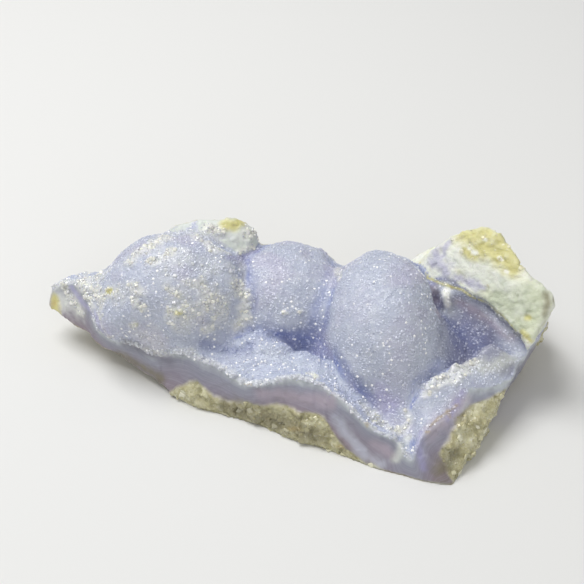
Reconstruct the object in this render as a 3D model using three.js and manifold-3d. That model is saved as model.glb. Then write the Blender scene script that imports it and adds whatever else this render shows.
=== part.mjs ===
import * as THREE from 'three';
import { mergeVertices } from 'three/addons/utils/BufferGeometryUtils.js';
import Module from 'manifold-3d';

// A broken fragment of blue chalcedony whose crystal-lined hollow faces up and to the front.
// Millimetres. X runs along the fragment, Y from its front corner to its back, Z up.

// Rounded growths of the hollow: centre and half sizes.
const LEFT_LOBE = { centre: [-25.5, 39, 13], radii: [14.8, 12.5, 14.3] };
const LOW_LEFT_LOBE = { centre: [-34, 37, 9.5], radii: [8.5, 8, 9.5] };
const MIDDLE_LOBE = { centre: [-3, 41.5, 8.5], radii: [14, 12.5, 14] };
const RIGHT_LOBE = { centre: [17, 32.5, 9.5], radii: [13.5, 17, 16.5] };
const NUB = { centre: [32.2, 38, 14], radii: [3, 4, 6] };
const SLOPE = { from: [17, 27, 5], to: [20.5, 12, 0.5], fromRadius: 10, toRadius: 5.5 };

// The hollow's floor: its height at the front corner and its climb towards the back.
const FLOOR_HEIGHT = 3;
const FLOOR_CLIMB = 0.17;

// Inner edges of the two broken rims, from the left tip to the notch and from the notch to the right.
const LEDGE_EDGE = [
  [-56, 46, 9], [-49, 44, 14.5], [-44, 42.5, 16.5], [-40, 37.5, 13.5], [-36, 34, 11], [-30, 31.5, 9.8],
  [-24.5, 30, 9.5], [-16.2, 26.8, 10.3], [-11.2, 27.7, 11.3], [-7.1, 28.6, 12.5], [-3, 28, 13.2],
  [0, 25, 12], [6.1, 25.3, 11.4], [10, 21.8, 10.5], [14.6, 15.4, 9.2], [19.1, 8.2, 7], [21, 4.5, 4.8],
  [21.6, -4, 3.5],
];
const RIM_EDGE = [
  [21.6, -4, 3.5], [20.6, 7, 5], [21.8, 10.7, 7], [24.7, 15, 10], [25.6, 17.9, 12], [30.5, 19.9, 12.5],
  [35.6, 22.2, 12.8], [40.9, 23.5, 13.5], [45, 23.5, 15], [47, 34, 16], [60, 40, 17],
];

// The block that overhangs the hollow's right end, and the pocket under it.
const LIP_EDGE = [
  [24, 42, 0], [26, 38.5, 0], [28.6, 35.5, 0], [31.6, 34.6, 0], [34.6, 34, 0], [38.2, 31, 0], [42, 28.7, 0],
  [44.5, 25.8, 0], [48, 21, 0],
];
const POCKET = { centre: [34, 32.5, 12], radii: [10.5, 9, 8] };
const CAP = { centre: [-17, 47.5, 16], radii: [10.8, 8, 12] };
const BACK_MASS = { centre: [2, 43, 4], radii: [50, 10, 12] };
const WALLS = [
  { from: [30, 47, 12], to: [42, 45, 16], fromRadius: 7, toRadius: 7 },
  { from: [42, 45, 16], to: [50, 36, 12], fromRadius: 7, toRadius: 6 },
  { from: [48.5, 30, 8], to: [48.5, 32, 18], fromRadius: 5.5, toRadius: 5 },
];

// Faces along which the fragment broke: outward direction, and a point on the face.
const RIGHT_SIDE = { out: [0.85, -0.48, -0.2], at: [36, 12, 1] };
const RIM_BREAKS = [
  { out: [-0.39, -0.855, 0.342], at: [-1, 11.5, 0] },
  { out: [-0.546, -0.838, -0.02], at: [-26, 23.4, 2] },
  { out: [-0.588, -0.709, 0.391], at: [-47.4, 41.1, 16] },
  { out: [-0.12, -0.95, 0.3], at: [22, 0.9, 0] },
  { out: [0.39, -0.62, 0.68], at: [31.2, 13.5, 11] },
  { out: [-0.97, -0.02, 0.22], at: [-54.6, 41, 10] },
  RIGHT_SIDE,
];
const ROOF_BREAKS = [
  { out: [-0.062, -0.526, 0.848], at: [33, 41, 30] },
  { out: [-0.1, 0.85, 0.5], at: [35, 41.5, 30] },
  { out: [-0.656, 0.504, 0.56], at: [29.5, 39.5, 27] },
  RIGHT_SIDE,
];
const CAP_BREAK = { out: [-0.1, -0.3, 0.95], at: [-16.5, 46, 26.4] };
const OUTER_BREAKS = [
  { out: [0.97, 0.1, 0.2], at: [50.6, 36, 14] },
  { out: [0.789, 0.411, 0.456], at: [44.3, 33, 25.8] },
  { out: [0, 0.99, 0.1], at: [0, 49.5, 20] },
  { out: [-0.36, 0.92, 0.12], at: [-50, 45, 12] },
  { out: [-0.22, 0.05, -0.974], at: [-22, 30, 0] },
  { out: [0.35, 0.1, -0.93], at: [36, 25, 0] },
  { out: [0, 0.35, -0.93], at: [0, 46, 0] },
];

// Lumps of quartz along the foot of the front face, and how wide, deep and high they are.
const FOOT_LUMPS = [[-23, 25, 3], [-14, 20, 3], [-5, 15.6, 3.5], [4, 11.8, 3], [12, 8.5, 2.5]];
const FOOT_LUMP_RADII = [5.5, 3, 3.2];

// Pits in the rough back and underside, spaced round them by a spiral.
const PIT_COUNT = 22;
const PIT_RADIUS = 3.4;

// How softly the pieces of the form run into each other.
const CREASE = 0.8;
const BROKEN_EDGE = 0.6;
const RIM_CREST = 3;
const RIM_LEAN = 0.35;
const LOBE_FOOT = 5;
const OUTER_EDGE = 0.8;

// Unevenness: wavelength and height of the swells on grown and on broken surfaces.
const BROAD_SWELL = { length: 15, height: 0.55, turn: 1 };
const SHORT_SWELL = { length: 7.5, height: 0.3, turn: 2 };
const ROUGH_SWELL = { length: 10, height: 0.9, turn: 3 };
const SWELL_WAVES = 5;
const GOLDEN_ANGLE = 2.39996;

// The crystal crust over the hollow, its clearance from the stone, and its coarse crystals.
const CRUST_THICKNESS = 1;
const CRUST_CLEARANCE = 0.35;
const LINING_REACH = 0.4;
const CRYSTAL_RADIUS = 1.35;
const CRYSTAL_HEIGHT = 1.7;
const CRYSTAL_FOOT = 0.65;
const CRYSTAL_SLANT = 0.45;
const CRYSTAL_DEEPEST = 0.8;
const CRYSTAL_EDGE_DISTANCE = 1.9;
const CRYSTAL_TAPER = 0.6;
const BED_DEPTH = 0.95;
const LOBE_CRYSTALS = 44;
const EDGE_CRYSTALS = 26;

// The mesh: the width of its cells and how often its points are evened out.
const CELL = 2.75;
const SETTLING_ROUNDS = 5;
const UNFOLDING_ROUNDS = 10;
const LEAST_FACING = 0.15;
const FLAT_REACH = 0.12;
const JUST_INSIDE = 0.1;
const SPACE = new THREE.Box3(new THREE.Vector3(-59, -4, -4), new THREE.Vector3(57, 57, 37));
const OUTSIDE = 90;
const OVERHEAD = 34;

const clamp = (value, low, high) => Math.min(Math.max(value, low), high);
const dot = (a, b) => a[0] * b[0] + a[1] * b[1] + a[2] * b[2];
const minus = (a, b) => [a[0] - b[0], a[1] - b[1], a[2] - b[2]];
const along = (a, direction, step) => a.map((value, axis) => value + step * direction[axis]);

// Each shape below gives a signed distance: under zero inside it, over zero outside.

function ellipsoid(p, { centre, radii }) {
  const q = minus(p, centre);
  const near = Math.hypot(q[0] / radii[0], q[1] / radii[1], q[2] / radii[2]);
  const far = Math.hypot(q[0] / radii[0] ** 2, q[1] / radii[1] ** 2, q[2] / radii[2] ** 2);
  return (near * (near - 1)) / Math.max(far, 1e-6);
}

function taperedRod(p, { from, to, fromRadius, toRadius }) {
  const axis = minus(to, from);
  const t = clamp(dot(minus(p, from), axis) / dot(axis, axis), 0, 1);
  const nearest = along(from, axis, t);
  return Math.hypot(...minus(p, nearest)) - (fromRadius + (toRadius - fromRadius) * t);
}

function halfSpace(p, { out, at }) {
  return dot(minus(p, at), out) / Math.hypot(...out);
}

// Distance in plan to a closed outline, and the outline's height at its nearest point.
function besideOutline(p, outline) {
  let nearest = Infinity;
  let height = 0;
  let inside = false;
  outline.forEach((a, i) => {
    const b = outline[(i + 1) % outline.length];
    const side = [b[0] - a[0], b[1] - a[1]];
    const q = [p[0] - a[0], p[1] - a[1]];
    const t = clamp((q[0] * side[0] + q[1] * side[1]) / (side[0] ** 2 + side[1] ** 2), 0, 1);
    const away = Math.hypot(q[0] - t * side[0], q[1] - t * side[1]);
    if (away < nearest) {
      nearest = away;
      height = a[2] + t * (b[2] - a[2]);
    }
    const crosses = a[1] > p[1] !== b[1] > p[1];
    if (crosses && q[0] < (side[0] * q[1]) / side[1]) inside = !inside;
  });
  return { distance: inside ? -nearest : nearest, height };
}

// Joins two shapes, or keeps what they share, with a rounding of the given width between them.
function join(a, b, rounding) {
  const h = Math.max(rounding - Math.abs(a - b), 0) / rounding;
  return Math.min(a, b) - (h * h * rounding) / 4;
}

function shared(a, b, rounding) {
  return -join(-a, -b, rounding);
}

function breakAlong(distance, p, faces, rounding) {
  return faces.reduce((kept, face) => shared(kept, halfSpace(p, face), rounding), distance);
}

// Rolling unevenness between about -1 and 1, made of a few waves in evenly spread directions.
function swell(p, { length, turn }) {
  let total = 0;
  for (let i = 0; i < SWELL_WAVES; i++) {
    const z = (2 * i + 1) / SWELL_WAVES - 1;
    const x = Math.cos(GOLDEN_ANGLE * i + turn) * Math.sqrt(1 - z * z);
    const y = Math.sin(GOLDEN_ANGLE * i + turn) * Math.sqrt(1 - z * z);
    const rate = (2 * Math.PI) / (length * (0.75 + 0.12 * i));
    const bend = 1.3 * Math.sin(0.6 * rate * dot(p, [y, z, x]) + i);
    total += Math.sin(rate * dot(p, [x, y, z]) + bend + turn * (i + 1));
  }
  return (total / SWELL_WAVES) * 1.3;
}

function shifted(p, swells) {
  const offset = swells.reduce((sum, each) => sum + each.height * swell(p, each), 0);
  return [p[0] + offset, p[1] + offset, p[2] + offset * 0.8];
}

const LEDGE_OUTLINE = [...LEDGE_EDGE, [21.6, -20, 4], [-OUTSIDE, -20, 9], [-OUTSIDE, 60, 9]];
const RIM_OUTLINE = [...RIM_EDGE, [OUTSIDE, 40, 17], [OUTSIDE, -20, 9], [21.6, -20, 4]];
const ROOF_OUTLINE = [...LIP_EDGE, [OUTSIDE, 20, 0], [OUTSIDE, OUTSIDE, 0], [24, OUTSIDE, 0]];

function lobes(p) {
  const each = [LEFT_LOBE, LOW_LEFT_LOBE, MIDDLE_LOBE, NUB].map((lobe) => ellipsoid(p, lobe));
  return each.reduce((sum, next) => join(sum, next, CREASE));
}

function brokenRim(p, outline) {
  const { distance, height } = besideOutline(p, outline);
  const wall = distance * Math.cos(RIM_LEAN) + (p[2] - height) * Math.sin(RIM_LEAN);
  return shared(wall, p[2] - height, RIM_CREST);
}

// The hollow's floor with the right lobe, and the ledges that stand up round it.
function floorAndRims(p) {
  let ground = p[2] - FLOOR_HEIGHT - FLOOR_CLIMB * p[1];
  ground = join(ground, ellipsoid(p, RIGHT_LOBE), LOBE_FOOT);
  ground = join(ground, taperedRod(p, SLOPE), LOBE_FOOT);
  ground = join(ground, brokenRim(p, LEDGE_OUTLINE), 1);
  return join(ground, brokenRim(p, RIM_OUTLINE), 1);
}

// The block over the hollow's right end, the walls behind it, and the pocket that is left open.
function roofAndWalls(p, broken) {
  const block = breakAlong(besideOutline(p, ROOF_OUTLINE).distance, broken, ROOF_BREAKS, 1);
  let rock = WALLS.reduce((sum, wall) => join(sum, taperedRod(p, wall), 2), ellipsoid(p, BACK_MASS));
  rock = breakAlong(rock, broken, RIM_BREAKS, BROKEN_EDGE);
  return shared(join(rock, block, 1.5), -ellipsoid(p, POCKET), 2);
}

function footLumps(p) {
  const each = FOOT_LUMPS.map((centre) => ellipsoid(p, { centre, radii: FOOT_LUMP_RADII }));
  return Math.min(...each);
}

function pits(p) {
  let nearest = Infinity;
  for (let i = 0; i < PIT_COUNT; i++) {
    const across = (i + 0.5) / PIT_COUNT;
    const height = 4 + 14 * ((i * 0.618) % 1);
    const behind = i % 3 !== 0;
    const centre = behind ? [-40 + 88 * across, 51.5, height] : [-44 + 30 * across, 25 + height, 2 * across];
    nearest = Math.min(nearest, ellipsoid(p, { centre, radii: [PIT_RADIUS, 2.2, PIT_RADIUS * 0.8] }));
  }
  return nearest;
}

// Distance to the outermost breaks, which the whole stone shares.
function outerBreaks(p) {
  return breakAlong(-OUTSIDE, shifted(p, [ROUGH_SWELL]), OUTER_BREAKS, OUTER_EDGE);
}

const lining = (p) => join(lobes(p), floorAndRims(p), CREASE);

// The whole stone with its crust.
function wholeStone(p) {
  const grown = shifted(p, [BROAD_SWELL, SHORT_SWELL]);
  const broken = shifted(p, [BROAD_SWELL]);
  const rims = breakAlong(floorAndRims(grown), broken, RIM_BREAKS, BROKEN_EDGE);
  const cap = shared(ellipsoid(grown, CAP), halfSpace(broken, CAP_BREAK), CREASE);
  let stone = join(lobes(grown), rims, CREASE);
  stone = join(stone, cap, BROKEN_EDGE);
  stone = join(stone, roofAndWalls(grown, broken), 1);
  stone = join(stone, footLumps(grown), CREASE);
  stone = shared(stone, outerBreaks(p), OUTER_EDGE);
  stone = shared(stone, -pits(p), CREASE);
  return Math.max(stone, -p[2]);
}

// Whether a point of the surface is where crystals grew, and not on a break.
function isLined(p) {
  const grown = shifted(p, [BROAD_SWELL, SHORT_SWELL]);
  const inPocket = Math.abs(ellipsoid(grown, POCKET)) < LINING_REACH && p[1] > 27;
  return inPocket || Math.abs(lining(grown)) < LINING_REACH;
}

function slopeOf(field, p, step = 0.05) {
  return [0, 1, 2].map((axis) => {
    const ahead = p.slice();
    const behind = p.slice();
    ahead[axis] += step;
    behind[axis] -= step;
    return (field(ahead) - field(behind)) / (2 * step);
  });
}

// The outward direction at a point, taken over a span that evens out sharp edges.
function outwardAt(p) {
  const slope = slopeOf(wholeStone, p, CRUST_THICKNESS * 1.5);
  return slope.map((value) => value / Math.hypot(...slope));
}

// Moves a point along the field's slope until it lies on the surface.
function ontoSurface(field, point) {
  let p = point;
  for (let i = 0; i < 3; i++) {
    const slope = slopeOf(field, p);
    const steepness = Math.max(dot(slope, slope), 0.2);
    p = along(p, slope, -clamp(field(p) / steepness, -CELL / 3, CELL / 3));
  }
  return p;
}

// A grid of field values over the space, and a way to number its points.
function sampleField(field) {
  const size = SPACE.getSize(new THREE.Vector3()).divideScalar(CELL).ceil().addScalar(1);
  const [nx, ny, nz] = size.toArray();
  const index = (x, y, z) => (x * ny + y) * nz + z;
  const place = (x, y, z) => [SPACE.min.x + x * CELL, SPACE.min.y + y * CELL, SPACE.min.z + z * CELL];
  const values = new Float64Array(nx * ny * nz);
  for (let x = 0; x < nx; x++)
    for (let y = 0; y < ny; y++)
      for (let z = 0; z < nz; z++) values[index(x, y, z)] = field(place(x, y, z));
  return { counts: [nx, ny, nz], index, place, values };
}

const CORNERS = [0, 1, 2, 3, 4, 5, 6, 7].map((n) => [n & 1, (n >> 1) & 1, (n >> 2) & 1]);

// Whether a cell's corners inside the surface are linked by its edges, and those outside it too.
function isPlain(inside) {
  return [true, false].every((side) => {
    const reached = [inside.indexOf(side)];
    for (const n of reached)
      for (const step of [1, 2, 4])
        if (inside[n ^ step] === side && !reached.includes(n ^ step)) reached.push(n ^ step);
    return reached.length >= inside.filter((value) => value === side).length;
  });
}

// Fills the nearest outer corner of cells in which two parts of the surface touch, so that they part or join.
function fillTouching(grid) {
  const [nx, ny, nz] = grid.counts;
  let filled = 0;
  for (let x = 0; x < nx - 1; x++)
    for (let y = 0; y < ny - 1; y++)
      for (let z = 0; z < nz - 1; z++) {
        const corners = CORNERS.map((c) => grid.index(x + c[0], y + c[1], z + c[2]));
        if (isPlain(corners.map((n) => grid.values[n] < 0))) continue;
        const outer = corners.filter((n) => grid.values[n] >= 0);
        const nearest = outer.reduce((best, n) => (grid.values[n] < grid.values[best] ? n : best));
        grid.values[nearest] = -JUST_INSIDE;
        filled += 1;
      }
  return filled ? fillTouching(grid) : grid;
}

// The point of a cell: the mean of where the surface crosses its edges, or null with no crossing.
function cellPoint(grid, cell) {
  const corner = (c) => grid.values[grid.index(cell[0] + c[0], cell[1] + c[1], cell[2] + c[2])];
  const crossings = [];
  for (const c of CORNERS)
    for (let axis = 0; axis < 3; axis++) {
      if (c[axis] === 1) continue;
      const next = c.map((value, k) => (k === axis ? 1 : value));
      const here = corner(c);
      const there = corner(next);
      if (here < 0 === there < 0) continue;
      crossings.push(c.map((value, k) => (k === axis ? here / (here - there) : value)));
    }
  if (!crossings.length) return null;
  const mean = [0, 1, 2].map((k) => crossings.reduce((sum, c) => sum + c[k], 0) / crossings.length);
  return grid.place(cell[0] + mean[0], cell[1] + mean[1], cell[2] + mean[2]);
}

// One point in each cell that the surface crosses, and a four-sided face across each crossed grid edge.
function surfaceNet(field) {
  const grid = fillTouching(sampleField(field));
  const [nx, ny, nz] = grid.counts;
  const points = [];
  const numberOf = new Map();
  for (let x = 0; x < nx - 1; x++)
    for (let y = 0; y < ny - 1; y++)
      for (let z = 0; z < nz - 1; z++) {
        const point = cellPoint(grid, [x, y, z]);
        if (!point) continue;
        numberOf.set(grid.index(x, y, z), points.length);
        points.push(point);
      }
  const quads = [];
  for (let x = 1; x < nx - 1; x++)
    for (let y = 1; y < ny - 1; y++)
      for (let z = 1; z < nz - 1; z++)
        for (let axis = 0; axis < 3; axis++) {
          const here = [x, y, z];
          const next = here.map((value, k) => value + (k === axis ? 1 : 0));
          const startsInside = grid.values[grid.index(...here)] < 0;
          if (startsInside === grid.values[grid.index(...next)] < 0) continue;
          const around = [[1, 1], [0, 1], [0, 0], [1, 0]].map(([back, side]) => {
            const cell = here.slice();
            cell[(axis + 1) % 3] -= back;
            cell[(axis + 2) % 3] -= side;
            return numberOf.get(grid.index(...cell));
          });
          quads.push(startsInside ? around : around.reverse());
        }
  return { points, quads };
}

function neighboursIn(faces, count) {
  const neighbours = Array.from({ length: count }, () => new Set());
  for (const face of faces)
    face.forEach((a, i) => {
      const b = face[(i + 1) % face.length];
      neighbours[a].add(b);
      neighbours[b].add(a);
    });
  return neighbours.map((set) => [...set]);
}

function meanOf(points, numbers) {
  return [0, 1, 2].map((axis) => numbers.reduce((sum, n) => sum + points[n][axis], 0) / numbers.length);
}

// How far a point may be evened out: little beside a sharp edge, where the slope over a wide span is weak.
function looseness(field, p) {
  const steepness = Math.hypot(...slopeOf(field, p, CELL / 3));
  return clamp((steepness - 0.7) * 2.5, 0, 0.5);
}

// Evens out the points along the surface, so that its facets are of like size.
function settle(points, quads, field) {
  const neighbours = neighboursIn(quads, points.length);
  let settled = points.map((p) => ontoSurface(field, p));
  for (let round = 0; round < SETTLING_ROUNDS; round++)
    settled = settled.map((p, n) => {
      const towards = minus(meanOf(settled, neighbours[n]), p);
      return ontoSurface(field, along(p, towards, looseness(field, p)));
    });
  return settled.map((p) => (Math.abs(p[2]) < FLAT_REACH ? [p[0], p[1], 0] : p));
}

function faceNormal(points, [a, b, c]) {
  const u = minus(points[b], points[a]);
  const v = minus(points[c], points[a]);
  return [u[1] * v[2] - u[2] * v[1], u[2] * v[0] - u[0] * v[2], u[0] * v[1] - u[1] * v[0]];
}

// Draws the corners of faces that turned over towards their neighbours.
function unfold(points, faces, field) {
  const neighbours = neighboursIn(faces, points.length);
  const unfolded = points.slice();
  for (let round = 0; round < UNFOLDING_ROUNDS; round++) {
    const turned = faces.filter((face) => {
      const slope = slopeOf(field, meanOf(unfolded, face), CELL / 2);
      const normal = faceNormal(unfolded, face);
      return dot(slope, normal) < LEAST_FACING * Math.hypot(...normal) * Math.hypot(...slope);
    });
    for (const n of new Set(turned.flat())) {
      const towards = minus(meanOf(unfolded, neighbours[n]), unfolded[n]);
      if (unfolded[n][2] > 0) unfolded[n] = along(unfolded[n], towards, 0.7);
    }
  }
  return unfolded;
}

const distance = (points, a, b) => Math.hypot(...minus(points[a], points[b]));

function triangles(points, quads) {
  return quads.flatMap(([a, b, c, d]) =>
    distance(points, a, c) < distance(points, b, d) ? [[a, b, c], [a, c, d]] : [[a, b, d], [b, c, d]]);
}

// Edges that have a face on one side only, each as its start and its end.
function borderOf(faces) {
  const seen = new Set(faces.flatMap(([a, b, c]) => [`${a} ${b}`, `${b} ${c}`, `${c} ${a}`]));
  const border = [];
  for (const edge of seen) {
    const [a, b] = edge.split(' ').map(Number);
    if (!seen.has(`${b} ${a}`)) border.push([a, b]);
  }
  return border;
}

// The largest patch in which faces join by whole edges.
function largestPatch(faces) {
  const byEdge = new Map();
  faces.forEach((face, n) => face.forEach((a, i) => byEdge.set(`${a} ${face[(i + 1) % 3]}`, n)));
  const visited = new Array(faces.length).fill(false);
  let best = [];
  for (let start = 0; start < faces.length; start++) {
    if (visited[start]) continue;
    const patch = [start];
    visited[start] = true;
    for (const n of patch)
      faces[n].forEach((a, i) => {
        const other = byEdge.get(`${faces[n][(i + 1) % 3]} ${a}`);
        if (other === undefined || visited[other]) return;
        visited[other] = true;
        patch.push(other);
      });
    if (patch.length > best.length) best = patch;
  }
  return best.map((n) => faces[n]);
}

// The faces where crystals grew, without corners at which two parts of the patch only touch.
function linedPatch(points, faces) {
  const lined = points.map(isLined);
  let patch = largestPatch(faces.filter((face) => face.every((n) => lined[n])));
  for (;;) {
    const starts = new Map();
    for (const [a] of borderOf(patch)) starts.set(a, (starts.get(a) ?? 0) + 1);
    const pinched = new Set([...starts].filter(([, count]) => count > 1).map(([a]) => a));
    if (!pinched.size) return patch;
    patch = largestPatch(patch.filter((face) => !face.some((n) => pinched.has(n))));
  }
}

function inset(points, normals, patch, depth) {
  const moved = points.slice();
  for (const n of new Set(patch.flat())) moved[n] = along(points[n], normals[n], -depth);
  return moved;
}

// The crust: the patch as its top, the same patch set deeper as its underside, and a rim between them.
function crustFaces(points, normals, patch) {
  const under = points.length;
  const rim = borderOf(patch).flatMap(([a, b]) => [[a, a + under, b + under], [a, b + under, b]]);
  const underside = patch.map(([a, b, c]) => [a + under, c + under, b + under]);
  return {
    points: [...points, ...points.map((p, n) => along(p, normals[n], -CRUST_THICKNESS))],
    faces: [...patch, ...underside, ...rim],
  };
}

const wasm = await Module();
wasm.setup();

// A solid of the points that its faces use.
function solidOf({ points, faces }) {
  const numbers = new Map();
  for (const n of faces.flat()) if (!numbers.has(n)) numbers.set(n, numbers.size);
  return new wasm.Manifold(new wasm.Mesh({
    numProp: 3,
    vertProperties: new Float32Array([...numbers.keys()].flatMap((n) => points[n])),
    triVerts: new Uint32Array(faces.flat().map((n) => numbers.get(n))),
  }));
}

// The geometry of a solid's main body: chips that a cut leaves loose are dropped.
function geometryOf(solid) {
  const mesh = solid.getMesh();
  const faces = [];
  for (let n = 0; n < mesh.triVerts.length; n += 3) faces.push(Array.from(mesh.triVerts.slice(n, n + 3)));
  const positions = [];
  for (const n of largestPatch(faces).flat())
    for (let axis = 0; axis < 3; axis++) positions.push(mesh.vertProperties[n * mesh.numProp + axis]);
  const geometry = new THREE.BufferGeometry();
  geometry.setAttribute('position', new THREE.Float32BufferAttribute(positions, 3));
  return geometry;
}

// A short crystal with flat sides and a slanting top, set upright on the crust with its foot inside it.
function crystal(place, number) {
  const share = (number * 0.618) % 1;
  const radius = CRYSTAL_RADIUS * (0.65 + 0.6 * share);
  const height = CRYSTAL_HEIGHT * (0.7 + 0.6 * ((number * 0.414) % 1));
  const shape = new THREE.CylinderGeometry(radius * CRYSTAL_TAPER, radius, height, 4 + (number % 3));
  shape.deleteAttribute('normal');
  shape.deleteAttribute('uv');
  const block = mergeVertices(shape);
  const vertices = block.attributes.position;
  for (let n = 0; n < vertices.count; n++)
    if (vertices.getY(n) > 0) vertices.setY(n, vertices.getY(n) + CRYSTAL_SLANT * vertices.getX(n));
  const up = new THREE.Vector3(...slopeOf(wholeStone, place)).normalize();
  block.translate(0, height / 2 - CRYSTAL_FOOT, 0);
  block.rotateY(number * 1.7);
  block.applyQuaternion(new THREE.Quaternion().setFromUnitVectors(new THREE.Vector3(0, 1, 0), up));
  block.translate(...place);
  return block;
}

// Whether a crystal's foot ends inside the crust, and its top stands clear of the hollow's other walls.
function sitsWell(block) {
  const corner = new THREE.Vector3();
  const vertices = block.attributes.position;
  const depths = Array.from({ length: vertices.count }, (_, n) =>
    wholeStone(corner.fromBufferAttribute(vertices, n).toArray()));
  const buried = depths.filter((depth) => depth < 0);
  return buried.length < depths.length * 0.6 && Math.min(...depths) > -CRYSTAL_DEEPEST;
}

function solidOfGeometry(geometry) {
  return new wasm.Manifold(new wasm.Mesh({
    numProp: 3,
    vertProperties: geometry.attributes.position.array,
    triVerts: new Uint32Array(geometry.index.array),
  }));
}

// The first point of the surface met from a start towards a goal, or null.
function firstHit(start, goal) {
  const direction = minus(goal, start);
  const length = Math.hypot(...direction);
  for (let travelled = 0; travelled < length; ) {
    const p = along(start, direction, travelled / length);
    const gap = wholeStone(p);
    if (gap < 0.05) return p;
    travelled += gap * 0.8;
  }
  return null;
}

function crystalPlaces() {
  const places = [];
  for (let i = 0; i < LOBE_CRYSTALS; i++) {
    const spread = 0.95 * Math.sqrt((i + 0.5) / LOBE_CRYSTALS);
    const turn = GOLDEN_ANGLE * i;
    const towards = [0.3 + spread * Math.cos(turn), -1, 0.35 + spread * Math.sin(turn) * 0.8];
    places.push(firstHit(along(LEFT_LOBE.centre, towards, 25), LEFT_LOBE.centre));
  }
  for (let i = 0; i < EDGE_CRYSTALS; i++) {
    const edge = i % 3 === 0 ? RIM_EDGE : LEDGE_EDGE;
    const t = ((i * 0.618) % 1) * (edge.length - 4) + 2;
    const n = Math.floor(t);
    const onEdge = along(edge[n], minus(edge[n + 1], edge[n]), t - n);
    const above = along(onEdge, [0, 1, 0], ((i * 0.37) % 1) * 3 - 1.5);
    places.push(firstHit([above[0], above[1], OVERHEAD], [above[0], above[1], 0]));
  }
  return places.filter((p) => p && isLined(p) && awayFromBreaks(p));
}

function awayFromBreaks(p) {
  const grown = shifted(p, [BROAD_SWELL, SHORT_SWELL]);
  const onRim = floorAndRims(grown) < lobes(grown);
  const rims = breakAlong(-OUTSIDE, shifted(p, [BROAD_SWELL]), RIM_BREAKS, BROKEN_EDGE);
  return Math.max(onRim ? rims : -OUTSIDE, outerBreaks(p)) < -CRYSTAL_EDGE_DISTANCE;
}

// The crust with its coarse crystals, each cut off where it would come out under the crust.
function crystalCrust(points, normals, faces, patch) {
  const crust = solidOf(crustFaces(points, normals, patch));
  const bed = solidOf({ points: inset(points, normals, patch, BED_DEPTH), faces });
  const crystals = crystalPlaces().map(crystal).filter(sitsWell);
  return crystals.reduce((sum, block) => sum.add(solidOfGeometry(block).subtract(bed)), crust);
}

const net = surfaceNet(wholeStone);
const settledPoints = settle(net.points, net.quads, wholeStone);
const faces = largestPatch(triangles(settledPoints, net.quads));
const points = unfold(settledPoints, faces, wholeStone);
const normals = points.map(outwardAt);
const patch = linedPatch(points, faces);
const bare = inset(points, normals, patch, CRUST_THICKNESS + CRUST_CLEARANCE);
const stoneSolid = solidOf({ points: bare, faces });
const crustSolid = crystalCrust(points, normals, faces, patch);

const group = new THREE.Group();

function addNode(name, solid, colour, roughness) {
  const material = new THREE.MeshStandardMaterial({ color: colour, roughness, metalness: 0 });
  const mesh = new THREE.Mesh(geometryOf(solid), material);
  mesh.name = name;
  group.add(mesh);
}

addNode('stone', stoneSolid, 0xb9b4cc, 0.5);
addNode('crystal_crust', crustSolid, 0xa9b8e4, 0.25);

// The origin is under the middle of the whole, on the plane that it rests on.
const bounds = new THREE.Box3().setFromObject(group);
const middle = bounds.getCenter(new THREE.Vector3());
group.position.set(-middle.x, -middle.y, -bounds.min.z);

export default group;
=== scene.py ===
"""A broken fragment of blue chalcedony with a crystal-lined hollow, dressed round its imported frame."""

import math

import bpy
import numpy as np
from bpy.props import FloatProperty, FloatVectorProperty, IntProperty, PointerProperty
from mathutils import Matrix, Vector


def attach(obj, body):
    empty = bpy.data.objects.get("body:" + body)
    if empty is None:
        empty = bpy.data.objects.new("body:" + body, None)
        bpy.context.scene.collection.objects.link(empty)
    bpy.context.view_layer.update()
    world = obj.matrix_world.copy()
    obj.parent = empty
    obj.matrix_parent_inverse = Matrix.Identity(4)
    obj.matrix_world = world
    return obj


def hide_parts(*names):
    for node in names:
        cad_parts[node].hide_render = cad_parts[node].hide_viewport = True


bl_info = {
    "name": "Chalcedony specimen",
    "version": (1, 0, 0),
    "blender": (4, 5, 0),
    "location": "3D View > Sidebar > Chalcedony",
    "description": "Builds a drusy chalcedony fragment, its crystals and a plain stage",
    "category": "Object",
}

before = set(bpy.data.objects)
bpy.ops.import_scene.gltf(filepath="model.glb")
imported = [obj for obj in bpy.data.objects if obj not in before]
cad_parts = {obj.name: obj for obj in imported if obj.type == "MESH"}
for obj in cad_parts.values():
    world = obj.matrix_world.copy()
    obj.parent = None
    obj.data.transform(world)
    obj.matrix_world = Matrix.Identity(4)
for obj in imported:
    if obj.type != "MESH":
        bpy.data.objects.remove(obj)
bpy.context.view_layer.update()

# Lengths of the form are in millimetres, measured from the form's own origin. Meshes are in metres.
MM = 0.001
FORM_TO_FRAME = np.array([-0.0284, -26.5102, 0.0])

# Rounded growths of the hollow: centre and half sizes.
LEFT_LOBE = ((-25.3, 39.2, 13.1), (15.8, 12.6, 14.5))
LOW_LEFT_LOBE = ((-33.6, 38, 11), (8.2, 8.3, 9.2))
LEFT_TOE = ((-13.2, 31.6, 6.5), (6.2, 4.6, 5.6))
MIDDLE_LOBE = ((-3.5, 41.3, 8.6), (14.5, 12.5, 13.3))
RIGHT_LOBE = ((16.7, 32.5, 9.5), (13.2, 17, 16.5))
NUB = ((30.3, 36.4, 14.3), (1.7, 1.8, 3.8))
NUB_FOLD = ((28.2, 35, 17.2), (1.5, 3.2, 4.2))
FLANK = ((26, 29, 5), (8, 11, 8))
APRON = ((37.5, 36.5, 8.8), (46, 26, 9.4), 5, 4.8)
UNDER_LIP = ((33, 39.6, 14.6), (43, 31.4, 13.4), 3.2, 3)
CAVITY = ((32, 28, 15), (11.8, 9, 6.6))
CEILING = ((0.22, 0.1, 0.97), (35, 33, 16.2))
CEILING_CURVE = 3.5
LIP_CURVE = 3
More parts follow.
